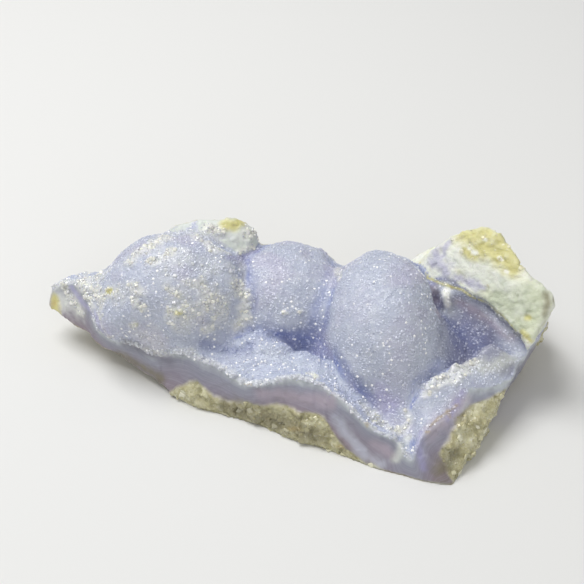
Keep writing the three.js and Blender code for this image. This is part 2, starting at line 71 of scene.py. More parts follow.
CAP = ((-18.6, 48.2, 16.4), (10.9, 8, 11.8))
BACK_MASS = ((2, 43, 4), (50, 10, 12))
SLOPE = ((17, 27, 5), (20.5, 12, 0.5), 10, 5.5)
WALLS = (
    ((30, 47, 12), (42, 45, 16), 7, 7),
    ((42, 45, 16), (50, 36, 12), 7, 6),
    ((48.5, 30, 8), (48.5, 32, 18), 5.5, 5),
)
FLOOR_HEIGHT = 3
FLOOR_CLIMB = 0.17

# The two broken rims. Each has an inner edge, above the hollow, and a crest along its broken face.
LEDGE_EDGE = (
    (-56, 46, 9), (-49, 45.5, 13.5), (-44, 44, 16), (-40, 41, 17), (-37.6, 38.9, 15.5), (-35, 35.9, 14),
    (-31.8, 33.6, 12.5), (-28.6, 31.1, 11.5), (-24.4, 28.8, 10.2), (-20.3, 27.4, 10), (-15.2, 26.9, 10.2),
    (-12.1, 27.6, 11.6), (-10.1, 28.3, 12.8), (-8.2, 28.5, 13.4), (-5, 27.2, 13.6), (-2.4, 25.6, 13.1),
    (-1.5, 25.1, 11.4), (0.6, 25.2, 11.6), (4, 23, 11), (8.9, 19.2, 9.8), (11.8, 17.4, 8.3),
    (15.3, 14.9, 6.6), (17.5, 11.2, 5), (20, 4.2, 3.6), (21.6, -4, 2.5),
)
LEDGE_CREST = (
    (-50.5, 43.5, 13.5), (-46.7, 40.8, 16.4), (-43.3, 36.9, 14.5), (-40.2, 33.8, 11.2), (-37.6, 31.2, 8.4),
    (-35.2, 31, 10.2), (-32.3, 29.5, 9.7), (-29.5, 28, 9), (-24.2, 26.3, 10.7), (-20.1, 24, 9.5),
    (-15, 21.4, 8.8), (-10.9, 19.6, 8.9), (-6.9, 18.3, 10.2), (-3, 17.2, 11.8), (2.8, 14.8, 12.5),
    (5.7, 13.4, 12.4), (8.6, 11.8, 11.4), (12.4, 9, 8.9), (14.3, 7.6, 7.6), (18.4, 4.9, 5.6),
    (20.2, -1, 3),
)
RIM_EDGE = (
    (21.6, -4, 2.5), (20.2, 4.2, 3.6), (19.6, 9.9, 5), (21.3, 11.8, 8), (22.4, 13.2, 10.5), (23.8, 15.2, 12),
    (25.2, 16.6, 12.6), (27.4, 17.6, 12.7), (29.3, 19.5, 13.1), (31.4, 20.2, 13.2), (33.4, 21.4, 13.6),
    (35, 22.1, 14), (36.2, 23.7, 14.6), (38, 24.3, 14.9), (39.5, 23.6, 14.6), (41.4, 22.6, 14.2),
    (44.8, 22.8, 14), (47, 34, 15), (60, 40, 16),
)
RIM_CREST = (
    (20.4, 1.6, 2.3), (21.2, 2.5, 4.8), (21.8, 3.8, 7.5), (23, 5.9, 8.6), (24.6, 7.4, 9.1), (26.7, 9.1, 9.5),
    (28.7, 10.4, 9.5), (30.4, 11.9, 10), (31.3, 15.4, 12.4), (32.9, 16.6, 12.5), (36.1, 17.4, 11.7),
    (39.2, 18.7, 11.2), (42.5, 21.1, 11.5), (45.1, 23.1, 11.8), (49, 27, 12.5),
)
# Where the block's pale face ends above its underside: height, by x.
LIP_LINE = ((27, 19.8), (31, 19.4), (36.5, 18.6), (40.6, 17.8), (43, 16), (46, 13.5))
# The edge of the overhanging block's underside, in plan.
LIP_EDGE = (
    (24, 42, 0), (26.4, 38.8, 0), (29, 36.6, 0), (31.8, 35, 0), (34.8, 33.4, 0), (38.4, 30.2, 0),
    (41.6, 27, 0), (44.2, 23.8, 0), (48, 19, 0),
)
# Further away than any part of the stone.
FAR = 90
LEDGE_OUTLINE = LEDGE_EDGE + ((21.6, -20, 4), (-FAR, -20, 9), (-FAR, 60, 9))
RIM_OUTLINE = RIM_EDGE + ((FAR, 40, 17), (FAR, -20, 9), (21.6, -20, 4))
ROOF_OUTLINE = LIP_EDGE + ((FAR, 20, 0), (FAR, FAR, 0), (24, FAR, 0))

# Faces along which the fragment broke: outward direction, and a point on the face.
RIGHT_SIDE = ((0.85, -0.48, -0.2), (36, 12, 1))
RIM_BREAKS = (
    ((-0.39, -0.855, 0.342), (-1, 11.5, 0)),
    ((-0.546, -0.838, -0.02), (-26, 23.4, 2)),
    ((-0.588, -0.709, 0.391), (-47.4, 41.1, 16)),
    ((-0.12, -0.95, 0.3), (22, 0.9, 0)),
    ((0.39, -0.62, 0.68), (31.2, 13.5, 11)),
    ((-0.97, -0.02, 0.22), (-53.2, 41, 10)),
    RIGHT_SIDE,
)
# The right side of the overhanging block.
BLOCK_SIDE = ((0.79, 0.49, 0.38), (45.2, 33.5, 26.3))
ROOF_BREAKS = (
    ((-0.062, -0.526, 0.848), (33, 41, 30)),
    ((0.1, 0.82, 0.5), (33, 42.4, 30.4)),
    ((-0.544, 0.642, 0.540), (29.1, 39.5, 28.8)),
    BLOCK_SIDE,
    ((-0.55, -0.6, 0.58), (35.5, 34.6, 20)),
    ((-0.86, -0.28, 0.42), (29.6, 39.4, 25.3)),
    RIGHT_SIDE,
)
CAP_BREAKS = (((-0.1, -0.3, 0.95), (-16.5, 46, 26.4)), ((0.15, -0.7, 0.7), (-13, 43.5, 22.8)))
OUTER_BREAKS = (
    ((0.97, 0.1, 0.2), (50.6, 36, 14)),
    ((0.79, 0.49, 0.38), (46.6, 34.3, 27)),
    ((0, 0.99, 0.1), (0, 49.5, 20)),
    ((-0.36, 0.92, 0.12), (-50, 45, 12)),
    ((-0.22, 0.05, -0.974), (-22, 30, 0)),
    ((0.35, 0.1, -0.93), (36, 25, 0)),
    ((0, 0.35, -0.93), (0, 46, 0)),
)
# Shallow pits in the rind: how many, their half sizes, and the lowest height and the range of heights on the
# back. Each row of them has a left end and a width. Every third pit is in the row on the underside.
PIT_COUNT = 22
PIT_SIZE = (3.4, 2.2, 2.72)
LOWEST_PIT = 4
PIT_HEIGHTS = 14
BACK_ROW = (-40, 88)
BACK_PLACE = 51.5
UNDER_ROW = (-44, 30)
UNDER_PLACE = 25
UNDER_CLIMB = 2
GOLDEN_SHARE = 0.618

# How softly the pieces of the form run into each other.
NUB_CREASE = 0.8
SHARP_CREASE = 1
WALL_CREASE = 2
ROOF_CREASE = 1.5
CREASE = 1.4
LOW_LOBE_CREASE = 4
SOFT_CREASE = 3
BROKEN_EDGE = 0.6
RIM_CURVE = 1.2
RIM_LEAN = 0.35
LOBE_FOOT = 5
OUTER_EDGE = 0.8

# Unevenness: wavelength, height and turn of the swells.
BROAD_SWELL = (15, 0.55, 1)
SHORT_SWELL = (7.5, 0.3, 2)
ROUGH_SWELL = (10, 0.9, 3)
SWELL_WAVES = 5
GOLDEN_ANGLE = 2.39996
# The first wave's share of a swell's length and what each later one adds, how far the waves bend sideways
# and at which share of their rate, and what brings their sum back to a height of about 1.
FIRST_WAVE = 0.75
LONGER = 0.12
WAVE_BEND = 1.3
BEND_RATE = 0.6
SWELL_GAIN = 1.3
# How much each axis is moved by a swell.
SWELL_PUSH = (1, 1, 0.8)

# The space that the form is sampled in, the fine grid's steps in a coarse one, and how near the surface, in
# millimetres, the fine grid is worked out.
SPACE_LOW = np.array([-58.0, -2.0, -2.0])
SPACE_SIZE = np.array([114.0, 57.0, 34.0])
COARSE_STEPS = 4
NEAR_SURFACE = 3.2

# How much a bent sheet may pass beside its points, and the greatest height it is used up to, in millimetres.
STIFFNESS = 0.3
HIGHEST_RIM = 19


def norm(v):
    return np.sqrt(np.einsum("...i,...i", v, v))


def unit(v):
    return v / np.maximum(norm(v), 1e-9)[..., None]


def smoothstep(low, high, value):
    t = np.clip((value - low) / (high - low), 0, 1)
    return t * t * (3 - 2 * t)


# Each shape below gives a signed distance: under zero inside it, over zero outside.


def ellipsoid(p, shape):
    centre, radii = (np.array(value, p.dtype) for value in shape)
    q = (p - centre) / radii
    near = norm(q)
    return near * (near - 1) / np.maximum(norm(q / radii), 1e-6)


def tapered_rod(p, rod):
    start, axis = np.array(rod[0], p.dtype), np.subtract(rod[1], rod[0]).astype(p.dtype)
    t = np.clip((p - start) @ axis / (axis @ axis), 0, 1)
    return norm(p - start - t[..., None] * axis) - (rod[2] + (rod[3] - rod[2]) * t)


def half_space(p, face):
    out, at = (np.array(value, p.dtype) for value in face)
    return (p - at) @ out / norm(out)


def beside_outline(p, outline):
    """Distance in plan to a closed outline, under zero inside it."""
    nearest = np.full(p.shape[:-1], np.inf, p.dtype)
    inside = np.zeros(nearest.shape, bool)
    for a, b in zip(outline, outline[1:] + outline[:1]):
        side = (b[0] - a[0], b[1] - a[1])
        qx, qy = p[..., 0] - a[0], p[..., 1] - a[1]
        t = np.clip((qx * side[0] + qy * side[1]) / (side[0] ** 2 + side[1] ** 2), 0, 1)
        nearest = np.minimum(nearest, np.hypot(qx - t * side[0], qy - t * side[1]))
        if side[1]:
            crosses = (a[1] > p[..., 1]) != (b[1] > p[..., 1])
            inside ^= crosses & (qx < side[0] * qy / side[1])
    return np.where(inside, -nearest, nearest)


def sheet_through(controls):
    """The smooth bent sheet through some points: its weights, one for each point and three for its tilt."""
    controls = np.array(controls, float)
    count = len(controls)
    away = norm(controls[:, None, :2] - controls[None, :, :2])
    rows = np.zeros((count + 3, count + 3))
    rows[:count, :count] = away**2 * np.log(away + 1e-9) + STIFFNESS * np.eye(count)
    rows[:count, count:] = np.c_[np.ones(count), controls[:, :2]]
    rows[count:, :count] = rows[:count, count:].T
    return controls, np.linalg.solve(rows, np.r_[controls[:, 2], np.zeros(3)])


def sheet_height(p, sheet):
    controls, weights = sheet
    x, y = p[..., 0], p[..., 1]
    height = weights[-3] + weights[-2] * x + weights[-1] * y
    for control, weight in zip(controls, weights):
        away = (x - p.dtype.type(control[0])) ** 2 + (y - p.dtype.type(control[1])) ** 2
        height = height + (weight / 2) * away * np.log(away + p.dtype.type(1e-9))
    return np.clip(height, 0, HIGHEST_RIM)


def join(a, b, rounding):
    h = np.maximum(rounding - np.abs(a - b), 0) / rounding
    return np.minimum(a, b) - h * h * rounding / 4


def shared(a, b, rounding):
    return -join(-a, -b, rounding)


def break_along(distance, p, faces, rounding):
    for face in faces:
        distance = shared(distance, half_space(p, face), rounding)
    return distance


def outside_breaks(p, faces, rounding):
    """How far each point lies outside of what some breaks leave."""
    return break_along(np.full(p.shape[:-1], -FAR, p.dtype), p, faces, rounding)


def swell(p, length, turn):
    """Rolling unevenness between about -1 and 1, made of a few waves in evenly spread directions."""
    total = 0
    for i in range(SWELL_WAVES):
        z = (2 * i + 1) / SWELL_WAVES - 1
        x = math.cos(GOLDEN_ANGLE * i + turn) * math.sqrt(1 - z * z)
        y = math.sin(GOLDEN_ANGLE * i + turn) * math.sqrt(1 - z * z)
        rate = 2 * math.pi / (length * (FIRST_WAVE + LONGER * i))
        bend = WAVE_BEND * np.sin(BEND_RATE * rate * (p @ np.array([y, z, x], p.dtype)) + i)
        total = total + np.sin(rate * (p @ np.array([x, y, z], p.dtype)) + bend + turn * (i + 1))
    return total / SWELL_WAVES * SWELL_GAIN


def shifted(p, swells):
    offset = sum(height * swell(p, length, turn) for length, height, turn in swells)
    return p + offset[..., None] * np.array(SWELL_PUSH, p.dtype)


def lobes(p):
    joined = join(ellipsoid(p, LEFT_LOBE), ellipsoid(p, LOW_LEFT_LOBE), LOW_LOBE_CREASE)
    joined = join(joined, ellipsoid(p, LEFT_TOE), SOFT_CREASE)
    return join(joined, ellipsoid(p, MIDDLE_LOBE), BROKEN_EDGE)


LEDGE_SHEET = sheet_through(LEDGE_EDGE + LEDGE_CREST)
RIM_SHEET = sheet_through(RIM_EDGE + RIM_CREST)


def broken_rim(p, outline, sheet):
    above = p[..., 2] - sheet_height(p, sheet)
    wall = beside_outline(p, outline) * math.cos(RIM_LEAN) + above * math.sin(RIM_LEAN)
    return shared(wall, above, RIM_CURVE)


# What the floor of the hollow is joined with, in turn, and how softly.
ON_FLOOR = (
    (ellipsoid, RIGHT_LOBE, LOBE_FOOT), (ellipsoid, MIDDLE_LOBE, SOFT_CREASE),
    (tapered_rod, SLOPE, LOBE_FOOT), (ellipsoid, FLANK, LOBE_FOOT), (tapered_rod, APRON, LOBE_FOOT),
    (tapered_rod, UNDER_LIP, LOBE_FOOT),
)


def floor_and_rims(p):
    ground = p[..., 2] - FLOOR_HEIGHT - FLOOR_CLIMB * p[..., 1]
    for kind, shape, rounding in ON_FLOOR:
        ground = join(ground, kind(p, shape), rounding)
    for outline, sheet in ((LEDGE_OUTLINE, LEDGE_SHEET), (RIM_OUTLINE, RIM_SHEET)):
        ground = join(ground, broken_rim(p, outline, sheet), SHARP_CREASE)
    return ground


def cavity(p):
    """The hollow under the overhanging block, with a nearly flat ceiling."""
    return shared(ellipsoid(p, CAVITY), half_space(p, CEILING), CEILING_CURVE)


def roof_and_walls(p, broken):
    block = break_along(beside_outline(p, ROOF_OUTLINE), broken, ROOF_BREAKS, SHARP_CREASE)
    rock = ellipsoid(p, BACK_MASS)
    for wall in WALLS:
        rock = join(rock, tapered_rod(p, wall), WALL_CREASE)
    rock = break_along(rock, broken, (*RIM_BREAKS, BLOCK_SIDE), BROKEN_EDGE)
    return shared(join(rock, block, ROOF_CREASE), -cavity(p), LIP_CURVE)


def pits(p):
    each = []
    for i in range(PIT_COUNT):
        across = (i + 0.5) / PIT_COUNT
        height = LOWEST_PIT + PIT_HEIGHTS * ((i * GOLDEN_SHARE) % 1)
        behind = (BACK_ROW[0] + BACK_ROW[1] * across, BACK_PLACE, height)
        below = (UNDER_ROW[0] + UNDER_ROW[1] * across, UNDER_PLACE + height, UNDER_CLIMB * across)
        centre = behind if i % 3 else below
        each.append(ellipsoid(p, (centre, PIT_SIZE)))
    return np.minimum.reduce(each)


def outer_breaks(p):
    return outside_breaks(shifted(p, [ROUGH_SWELL]), OUTER_BREAKS, OUTER_EDGE)


def whole_stone(p):
    """The whole stone with its crust."""
    broken = shifted(p, [BROAD_SWELL])
    grown = shifted(p, [BROAD_SWELL, SHORT_SWELL])
    rims = break_along(floor_and_rims(grown), broken, RIM_BREAKS, BROKEN_EDGE)
    cap = break_along(ellipsoid(grown, CAP), broken, CAP_BREAKS, BROKEN_EDGE)
    stone = shared(join(lobes(grown), rims, SOFT_CREASE), -ellipsoid(grown, NUB_FOLD), CREASE)
    stone = join(stone, ellipsoid(grown, NUB), NUB_CREASE)
    stone = join(stone, cap, CREASE)
    stone = join(stone, roof_and_walls(grown, broken), SHARP_CREASE)
    stone = shared(stone, outer_breaks(p), OUTER_EDGE)
    stone = shared(stone, -pits(p), CREASE)
    return np.maximum(stone, -p[..., 2])


def slope_of(field, p, step=0.05):
    """The field's slope at each point."""
    slope = np.empty_like(p)
    for axis in range(3):
        ahead, behind = p.copy(), p.copy()
        ahead[..., axis] += step
        behind[..., axis] -= step
        slope[..., axis] = (field(ahead) - field(behind)) / (2 * step)
    return slope


# Large odd numbers that scramble whole numbers, and how far apart the finer bumps of rolling start.
SCRAMBLE = (73856093, 19349663, 83492791, 668265263)
SCRAMBLE_MORE = 1274126177
SCRAMBLE_LAST = 2246822519
OCTAVE_START = 17.3
# How near the middle of a chip may come to the side of its cell, as a share of the cell.
CHIP_MARGIN = 0.2


def hash_of(cells, salt):
    """A repeatable number from 0 to 1 for each whole-number cell."""
    x, y, z = (cells[..., k].astype(np.int64) * SCRAMBLE[k] for k in range(3))
    h = x ^ y ^ z ^ (salt * SCRAMBLE[3])
    h = ((h ^ (h >> 13)) * SCRAMBLE_MORE) & 0xFFFFFFFF
    h = ((h ^ (h >> 15)) * SCRAMBLE_LAST) & 0xFFFFFFFF
    return ((h ^ (h >> 14)) & 0xFFFFFF) / float(0x1000000)


def rolling(p, length, salt, octaves=1):
    """Smooth unevenness from -1 to 1 with bumps of the given length, and finer ones on them."""
    total, weight, share = 0, 1, 0
    for octave in range(octaves):
        q = p / length * 2**octave + OCTAVE_START * octave
        cell = np.floor(q)
        t = q - cell
        t = t * t * (3 - 2 * t)
        value = 0
        for corner in np.ndindex(2, 2, 2):
            part = np.prod(np.where(np.array(corner), t, 1 - t), axis=-1)
            value = value + part * hash_of(cell + np.array(corner), salt + octave)
        total = total + weight * (2 * value - 1)
        share += weight
        weight *= 0.5
    return total / share


def facets(p, length, salt, tilt=1.0):
    """Flat chips: each cell of a random pattern is a little plane of its own height and tilt."""
    q = p / length
    base = np.floor(q - 0.5)
    nearest = np.full(q.shape[:-1], np.inf)
    height = np.zeros_like(nearest)
    for step in np.ndindex(2, 2, 2):
        cell = base + np.array(step)
        within = np.stack([hash_of(cell, salt + k) for k in range(3)], -1)
        middle = cell + CHIP_MARGIN + (1 - 2 * CHIP_MARGIN) * within
        away = q - middle
        distance = norm(away)
        lean = np.stack([hash_of(cell, salt + 3 + k) - 0.5 for k in range(3)], -1)
        level = 2 * hash_of(cell, salt + 7) - 1 + 2 * tilt * np.einsum("...i,...i", away, lean)
        closer = distance < nearest
        nearest = np.where(closer, distance, nearest)
        height = np.where(closer, level, height)
    return height


def near_surface_values(cell):
    """Field values on a fine grid: worked out near the surface, and copied from a coarse grid elsewhere."""
    coarse = cell * COARSE_STEPS
    counts = np.ceil(SPACE_SIZE / coarse).astype(int)
    axes = [SPACE_LOW[k] + coarse * (np.arange(counts[k]) + 0.5) for k in range(3)]
    points = np.stack(np.meshgrid(*axes, indexing="ij"), -1).astype(np.float32)
    values = whole_stone(points)
    for axis in range(3):
        values = np.repeat(values, COARSE_STEPS, axis)
    near = np.argwhere(np.abs(values) < NEAR_SURFACE)
    places = (SPACE_LOW + cell * (near + 0.5)).astype(np.float32)
    values[tuple(near.T)] = whole_stone(places)
    return values


# The corners of a grid cell, and the value given to a corner that is filled.
CORNERS = [(n & 1, n >> 1 & 1, n >> 2 & 1) for n in range(8)]
JUST_INSIDE = 0.02


def plain_codes():
    """For each pattern of a cell's corners: whether those inside, and those outside, are linked by edges."""
    plain = np.ones(256, bool)
    for code in range(256):
        for side in (0, 1):
            corners = [n for n in range(8) if code >> n & 1 == side]
            reached = corners[:1]
            for n in reached:
                reached += [n ^ s for s in (1, 2, 4) if n ^ s in corners and n ^ s not in reached]
            plain[code] &= len(reached) == len(corners)
    return plain


def fill_touching(values):
    """Fills the nearest outer corner of cells in which two parts of the surface touch."""
    plain = plain_codes()
    size = np.array(values.shape) - 1
    while True:
        code = np.zeros(size, np.int64)
        for n, c in enumerate(CORNERS):
            part = values[c[0]:size[0] + c[0], c[1]:size[1] + c[1], c[2]:size[2] + c[2]]
            code += (part < 0).astype(np.int64) << n
        cells = np.argwhere(~plain[code])
        if not len(cells):
            return
        for cell in cells:
            corners = [tuple(cell + c) for c in CORNERS]
            outer = [c for c in corners if values[c] >= 0]
            if outer:
                values[min(outer, key=lambda c: values[c])] = -JUST_INSIDE


def surface_net(values, cell):
    """One point in each cell that the surface crosses, and a four-sided face across each crossed edge."""
    inside = values < 0
    size = np.array(values.shape) - 1
    total = np.zeros(size, np.int8)
    for c in CORNERS:
        total += inside[c[0]:size[0] + c[0], c[1]:size[1] + c[1], c[2]:size[2] + c[2]]
    crossed = (total > 0) & (total < 8)
    cells = np.argwhere(crossed)
    number = np.full(crossed.shape, -1)
    number[crossed] = np.arange(len(cells))
    place, count = np.zeros(cells.shape), np.zeros(len(cells))
    for start in CORNERS:
        for axis in range(3):
            if start[axis]:
                continue
            end = [1 if k == axis else start[k] for k in range(3)]
            here = values[tuple((cells + start).T)]
            there = values[tuple((cells + end).T)]
            crosses = (here < 0) != (there < 0)
            t = np.where(crosses, here / np.where(crosses, here - there, 1), 0)
            point = np.tile(np.array(start, float), (len(cells), 1))
            point[:, axis] += t
            place += np.where(crosses[:, None], point, 0)
            count += crosses
    points = SPACE_LOW + cell * (cells + place / count[:, None] + 0.5)
    quads = []
    for axis in range(3):
        first = tuple(slice(0, -1) if k == axis else slice(None) for k in range(3))
        second = tuple(slice(1, None) if k == axis else slice(None) for k in range(3))
        edges = np.argwhere(inside[first] != inside[second])
        starts_outside = ~inside[first][tuple(edges.T)]
        ring = []
        for back, side in ((1, 1), (0, 1), (0, 0), (1, 0)):
            around = edges.copy()
            around[:, (axis + 1) % 3] -= back
            around[:, (axis + 2) % 3] -= side
            ring.append(number[tuple(around.T)])
        ring = np.stack(ring, 1)
        ring[starts_outside] = ring[starts_outside][:, ::-1]
        quads.append(ring)
    return points, np.concatenate(quads)


# The least squared slope that a step towards the surface reckons with.
LEAST_STEEP = 0.2


def onto_surface(points, cell, rounds=2):
    for _ in range(rounds):
        slope = slope_of(whole_stone, points)
        steepness = np.maximum(np.einsum("...i,...i", slope, slope), LEAST_STEEP)
        step = np.clip(whole_stone(points) / steepness, -cell / 2, cell / 2)
        points = points - slope * step[:, None]
    return points


def corner_normals(points, quads):
    a, b, c, d = (points[quads[:, k]] for k in range(4))
    normal = np.cross(c - a, d - b)
    total = np.zeros_like(points)
    for k in range(4):
        np.add.at(total, quads[:, k], normal)
    return unit(total)


# The camera of the reference view, in the form's millimetres.
VIEW_TILT = math.radians(42)
VIEW_DISTANCE = 227.0
VIEW_AIM = np.array([-1.6, 32.6, 20.6])
VIEW_LENS = 70.0
SENSOR_WIDTH = 36.0
PICTURE_SIDE = 584
AHEAD = np.array([0, math.cos(VIEW_TILT), -math.sin(VIEW_TILT)])
UPWARD = np.array([0, math.sin(VIEW_TILT), math.cos(VIEW_TILT)])
VIEW_POINT = VIEW_AIM - VIEW_DISTANCE * AHEAD
# A line of sight is followed from this share of the view's distance, in this many steps, each a share of the
# stone's distance and within these lengths in millimetres.
SIGHT_START = 0.6
SIGHT_STEPS = 60
SIGHT_SHARE = 0.8
SIGHT_STEP = (-1, 8)


def seen_at(pixels):
    """Where the lines of sight through points of the picture first meet the stone."""
    pixels = np.array(pixels, float)
    focal = PICTURE_SIDE * VIEW_LENS / SENSOR_WIDTH
    across = (pixels[:, :1] - PICTURE_SIDE / 2) / focal
    down = (pixels[:, 1:] - PICTURE_SIDE / 2) / focal
    ray = unit(AHEAD + across * np.array([1.0, 0, 0]) - down * UPWARD)
    travelled = np.full(len(pixels), VIEW_DISTANCE * SIGHT_START)
    for _ in range(SIGHT_STEPS):
        gap = whole_stone(VIEW_POINT + ray * travelled[:, None])
        travelled += np.clip(gap * SIGHT_SHARE, *SIGHT_STEP)
    return VIEW_POINT + ray * travelled[:, None]


# Marks on the surface. Each kind has how softly it fades out, how ragged its edge is, and its lines. A line
# is its half width in millimetres and then the points of the picture that it runs through: across and down,
# in pixels.
MARKS = {
    "cream": (1.4, 1.1, (
        (1.6, 128, 262, 140, 252, 152, 243, 165, 238), (1.1, 150, 262, 163, 258, 172, 250),
        (1.3, 134, 286, 140, 293), (1.1, 137, 302, 143, 308), (0.8, 132, 327, 136, 323),
        (2.2, 176, 314, 182, 313), (2.5, 203, 290, 212, 303, 222, 310),
        (1.8, 236, 286, 243, 300, 244, 314, 237, 324), (1.1, 205, 331, 212, 327), (0.8, 191, 284, 200, 288),
        (0.9, 176, 292, 180, 295), (0.8, 167, 289, 170, 291), (1.2, 195, 236, 205, 242, 213, 248, 222, 250),
        (0.6, 226, 252, 240, 251, 252, 247, 262, 240), (1.2, 208, 228, 222, 231), (1.2, 246, 232, 256, 236),
        (1.9, 88, 285, 95, 292, 100, 300), (1.6, 72, 274, 86, 277, 98, 280),
        (1.0, 64, 287, 73, 300, 84, 314), (1.3, 108, 292, 116, 297),
        (0.6, 75, 281, 88, 298, 100, 318, 112, 338), (0.8, 312, 374, 316, 377), (0.4, 284, 313, 287, 313),
        (0.4, 299, 312, 302, 312), (0.8, 338, 270, 340, 277),
        (1.6, 423, 388, 432, 382, 442, 376, 452, 370, 462, 364, 470, 362),
        (1.1, 426, 392, 440, 384, 455, 379, 466, 371), (0.8, 405, 412, 410, 420, 404, 428, 398, 432),
        (1.1, 362, 405, 368, 412, 376, 418), (0.8, 515, 332, 524, 336), (0.9, 385, 425, 392, 432),
    )),
    "yellow": (1.3, 0.45, (
        (1.3, 226, 224, 236, 225, 241, 222), (2.3, 462, 235, 475, 236, 487, 234),
        (2.3, 480, 247, 494, 250, 505, 261, 514, 267), (1.2, 466, 251, 475, 256), (0.6, 526, 318, 529, 318),
        (0.7, 522, 333, 527, 336), (0.5, 529, 340, 531, 341),
        (0.32, 419, 263, 428, 278, 440, 283, 452, 287, 462, 290, 475, 299),
        (0.26, 478, 300, 492, 308, 505, 318, 516, 331), (1.6, 497, 238, 512, 255, 528, 273),
        (1.5, 54, 300, 56, 310, 62, 318), (0.7, 107, 291, 110, 291), (0.6, 177, 313, 180, 313),
    )),
    "pale": (1.8, 0.9, (
        (3.6, 455, 262, 470, 266, 490, 282), (3.6, 500, 286, 515, 302), (1.6, 425, 262, 434, 256),
        (2.1, 443, 289, 447, 300, 449, 312), (3.0, 62, 300, 75, 306), (1.8, 210, 233, 225, 236, 240, 236),
        (0.8, 395, 460, 402, 445, 408, 438), (1.6, 478, 368, 500, 364, 515, 358),
    )),
    "iron": (1.4, 0.8, (
        (0.7, 54, 303, 56, 312, 61, 319), (0.24, 430, 426, 440, 417, 448, 412, 457, 405),
        (0.4, 447, 412, 450, 411), (0.35, 449, 413, 450, 417), (0.25, 451, 286, 452, 288),
        (0.22, 487, 285, 488, 287), (0.5, 290, 429, 300, 428), (0.4, 339, 446, 343, 447),
        (0.28, 366, 423, 367, 426), (0.3, 426, 432, 428, 432), (0.16, 245, 385, 252, 384),
    )),
    # The first violet line is painted shade, a groove in the crease below the cap's ridge; the others are
    # veins.
    "violet": (1.5, 0.8, (
        (0.7, 228, 257, 242, 257, 256, 251, 264, 244), (2.2, 380, 394, 392, 408),
        (0.9, 449, 241, 444, 250, 441, 260), (2.0, 437, 250, 438, 262, 446, 269),
        (1.1, 455, 276, 464, 281, 474, 286), (0.75, 72, 287, 82, 302, 95, 318, 108, 334),
        (0.9, 420, 433, 418, 446, 420, 460, 424, 470), (0.8, 478, 284, 484, 288),
        (0.7, 463, 392, 455, 405, 448, 420),
    )),
    "pink": (1.8, 0.6, (
        (1.4, 431, 287, 434, 300, 438, 312), (1.8, 430, 432, 440, 425, 452, 415, 462, 400),
        (1.5, 262, 394, 290, 396, 330, 402), (1.2, 375, 444, 388, 452),
        (1.4, 459, 301, 468, 306, 482, 314, 498, 325, 510, 338),
    )),
    "green": (1.8, 0.8, (
        (3.4, 492, 300, 508, 304, 528, 300, 538, 292), (3.2, 518, 322, 530, 324, 536, 312),
    )),
    # A darker olive-brown in the quartz, and painted shade on the shadowed underside of the left part and on
    # a small face at the far right.
    "dark": (1.8, 0.7, (
        (2.4, 228, 408, 262, 418, 300, 430, 316, 435), (1.8, 440, 470, 452, 455),
        (1.3, 80, 330, 120, 354, 160, 378), (0.7, 546, 294, 548, 303, 544, 314),
    )),
    # Painted light: light lavender laid where the lobes' flanks, the creases, the lip's underside and the
    # broken faces lie in shade.
    "milky": (1.8, 0.7, (
        (1.2, 338, 420, 346, 434, 356, 446, 368, 456, 380, 464),
        (2.8, 400, 335, 416, 350, 428, 364, 414, 376, 400, 370), (1.8, 412, 392, 426, 380, 442, 366),
        (1.0, 442, 289, 460, 295, 477, 304, 494, 317, 508, 332), (1.8, 500, 344, 514, 346, 520, 352),
        (2.0, 412, 318, 421, 331, 430, 345), (2.4, 212, 262, 226, 278, 232, 296), (0.9, 180, 345, 196, 352),
        (1.6, 262, 351, 280, 356, 300, 364, 330, 374, 346, 385),
    )),
    # Painted highlights: white spots where the stone glints; the last is painted light on the nub, in the
    # block's shadow.
    "glint": (1.0, 0.5, (
        (0.5, 459, 250, 461, 251), (0.6, 473, 252, 476, 253), (0.35, 484, 239, 486, 240),
        (0.45, 500, 258, 502, 260), (0.4, 505, 271, 507, 272), (0.35, 468, 248, 470, 249),
        (0.5, 312, 374, 315, 376), (0.5, 84, 283, 87, 285), (0.4, 133, 325, 135, 324),
        (0.9, 445, 291, 447, 299, 448, 304),
    )),
    # Painted shade: blue laid in the creases at the lobes' edges and feet, along the ledge and in the hollow
    # under the block.
    "blueness": (1.8, 0.7, (
        (1.3, 246, 262, 251, 278, 253, 296, 252, 312), (2.4, 268, 331, 290, 337, 310, 333, 326, 322),
        (1.1, 205, 343, 226, 349, 240, 351, 252, 345), (1.2, 335, 350, 345, 366, 360, 385, 372, 400),
        (3.0, 450, 322, 462, 338, 478, 350),
    )),
    # Painted shade: a darker grey band along the left part of the ledge's crest, which lies in shade.
    "band": (1.4, 0.5, (
        (1.4, 126, 343, 140, 349, 153, 354, 168, 360),
    )),
}

# The parts of a mark's fading edge that lie inside and outside its half width.
FADE_INWARD = 0.6
FADE_OUTWARD = 0.4


def mark_weight(points, ragged, fade, lines):
    """How strongly the nearest of some marks covers each point, with a ragged edge."""
    weight = np.zeros(len(points))
    places = seen_at(np.concatenate([np.reshape(line[1:], (-1, 2)) for line in lines]))
    for half_width, *pixels in lines:
        corners, places = places[:len(pixels) // 2], places[len(pixels) // 2:]
        reach = np.full(len(points), np.inf)
        for a, b in zip(corners, corners[1:]):
            t = np.clip((points - a) @ (b - a) / max((b - a) @ (b - a), 1e-9), 0, 1)
            reach = np.minimum(reach, norm(points - a - t[:, None] * (b - a)))
        uncovered = smoothstep(1 - FADE_INWARD * fade, 1 + FADE_OUTWARD * fade, reach / half_width + ragged)
        weight = np.maximum(weight, 1 - uncovered)
    return weight


# How far out from the surface free space is looked for, in millimetres.
OPEN_REACHES = (1.0, 2.5, 5.0, 9.0)


def openness(points, normals):
    """How much free space each point faces: 1 on open ground, near 0 deep in a crease."""
    total = 0
    for reach in OPEN_REACHES:
        total = total + np.clip(whole_stone(points + normals * reach) / reach, 0, 1)
    return total / len(OPEN_REACHES)


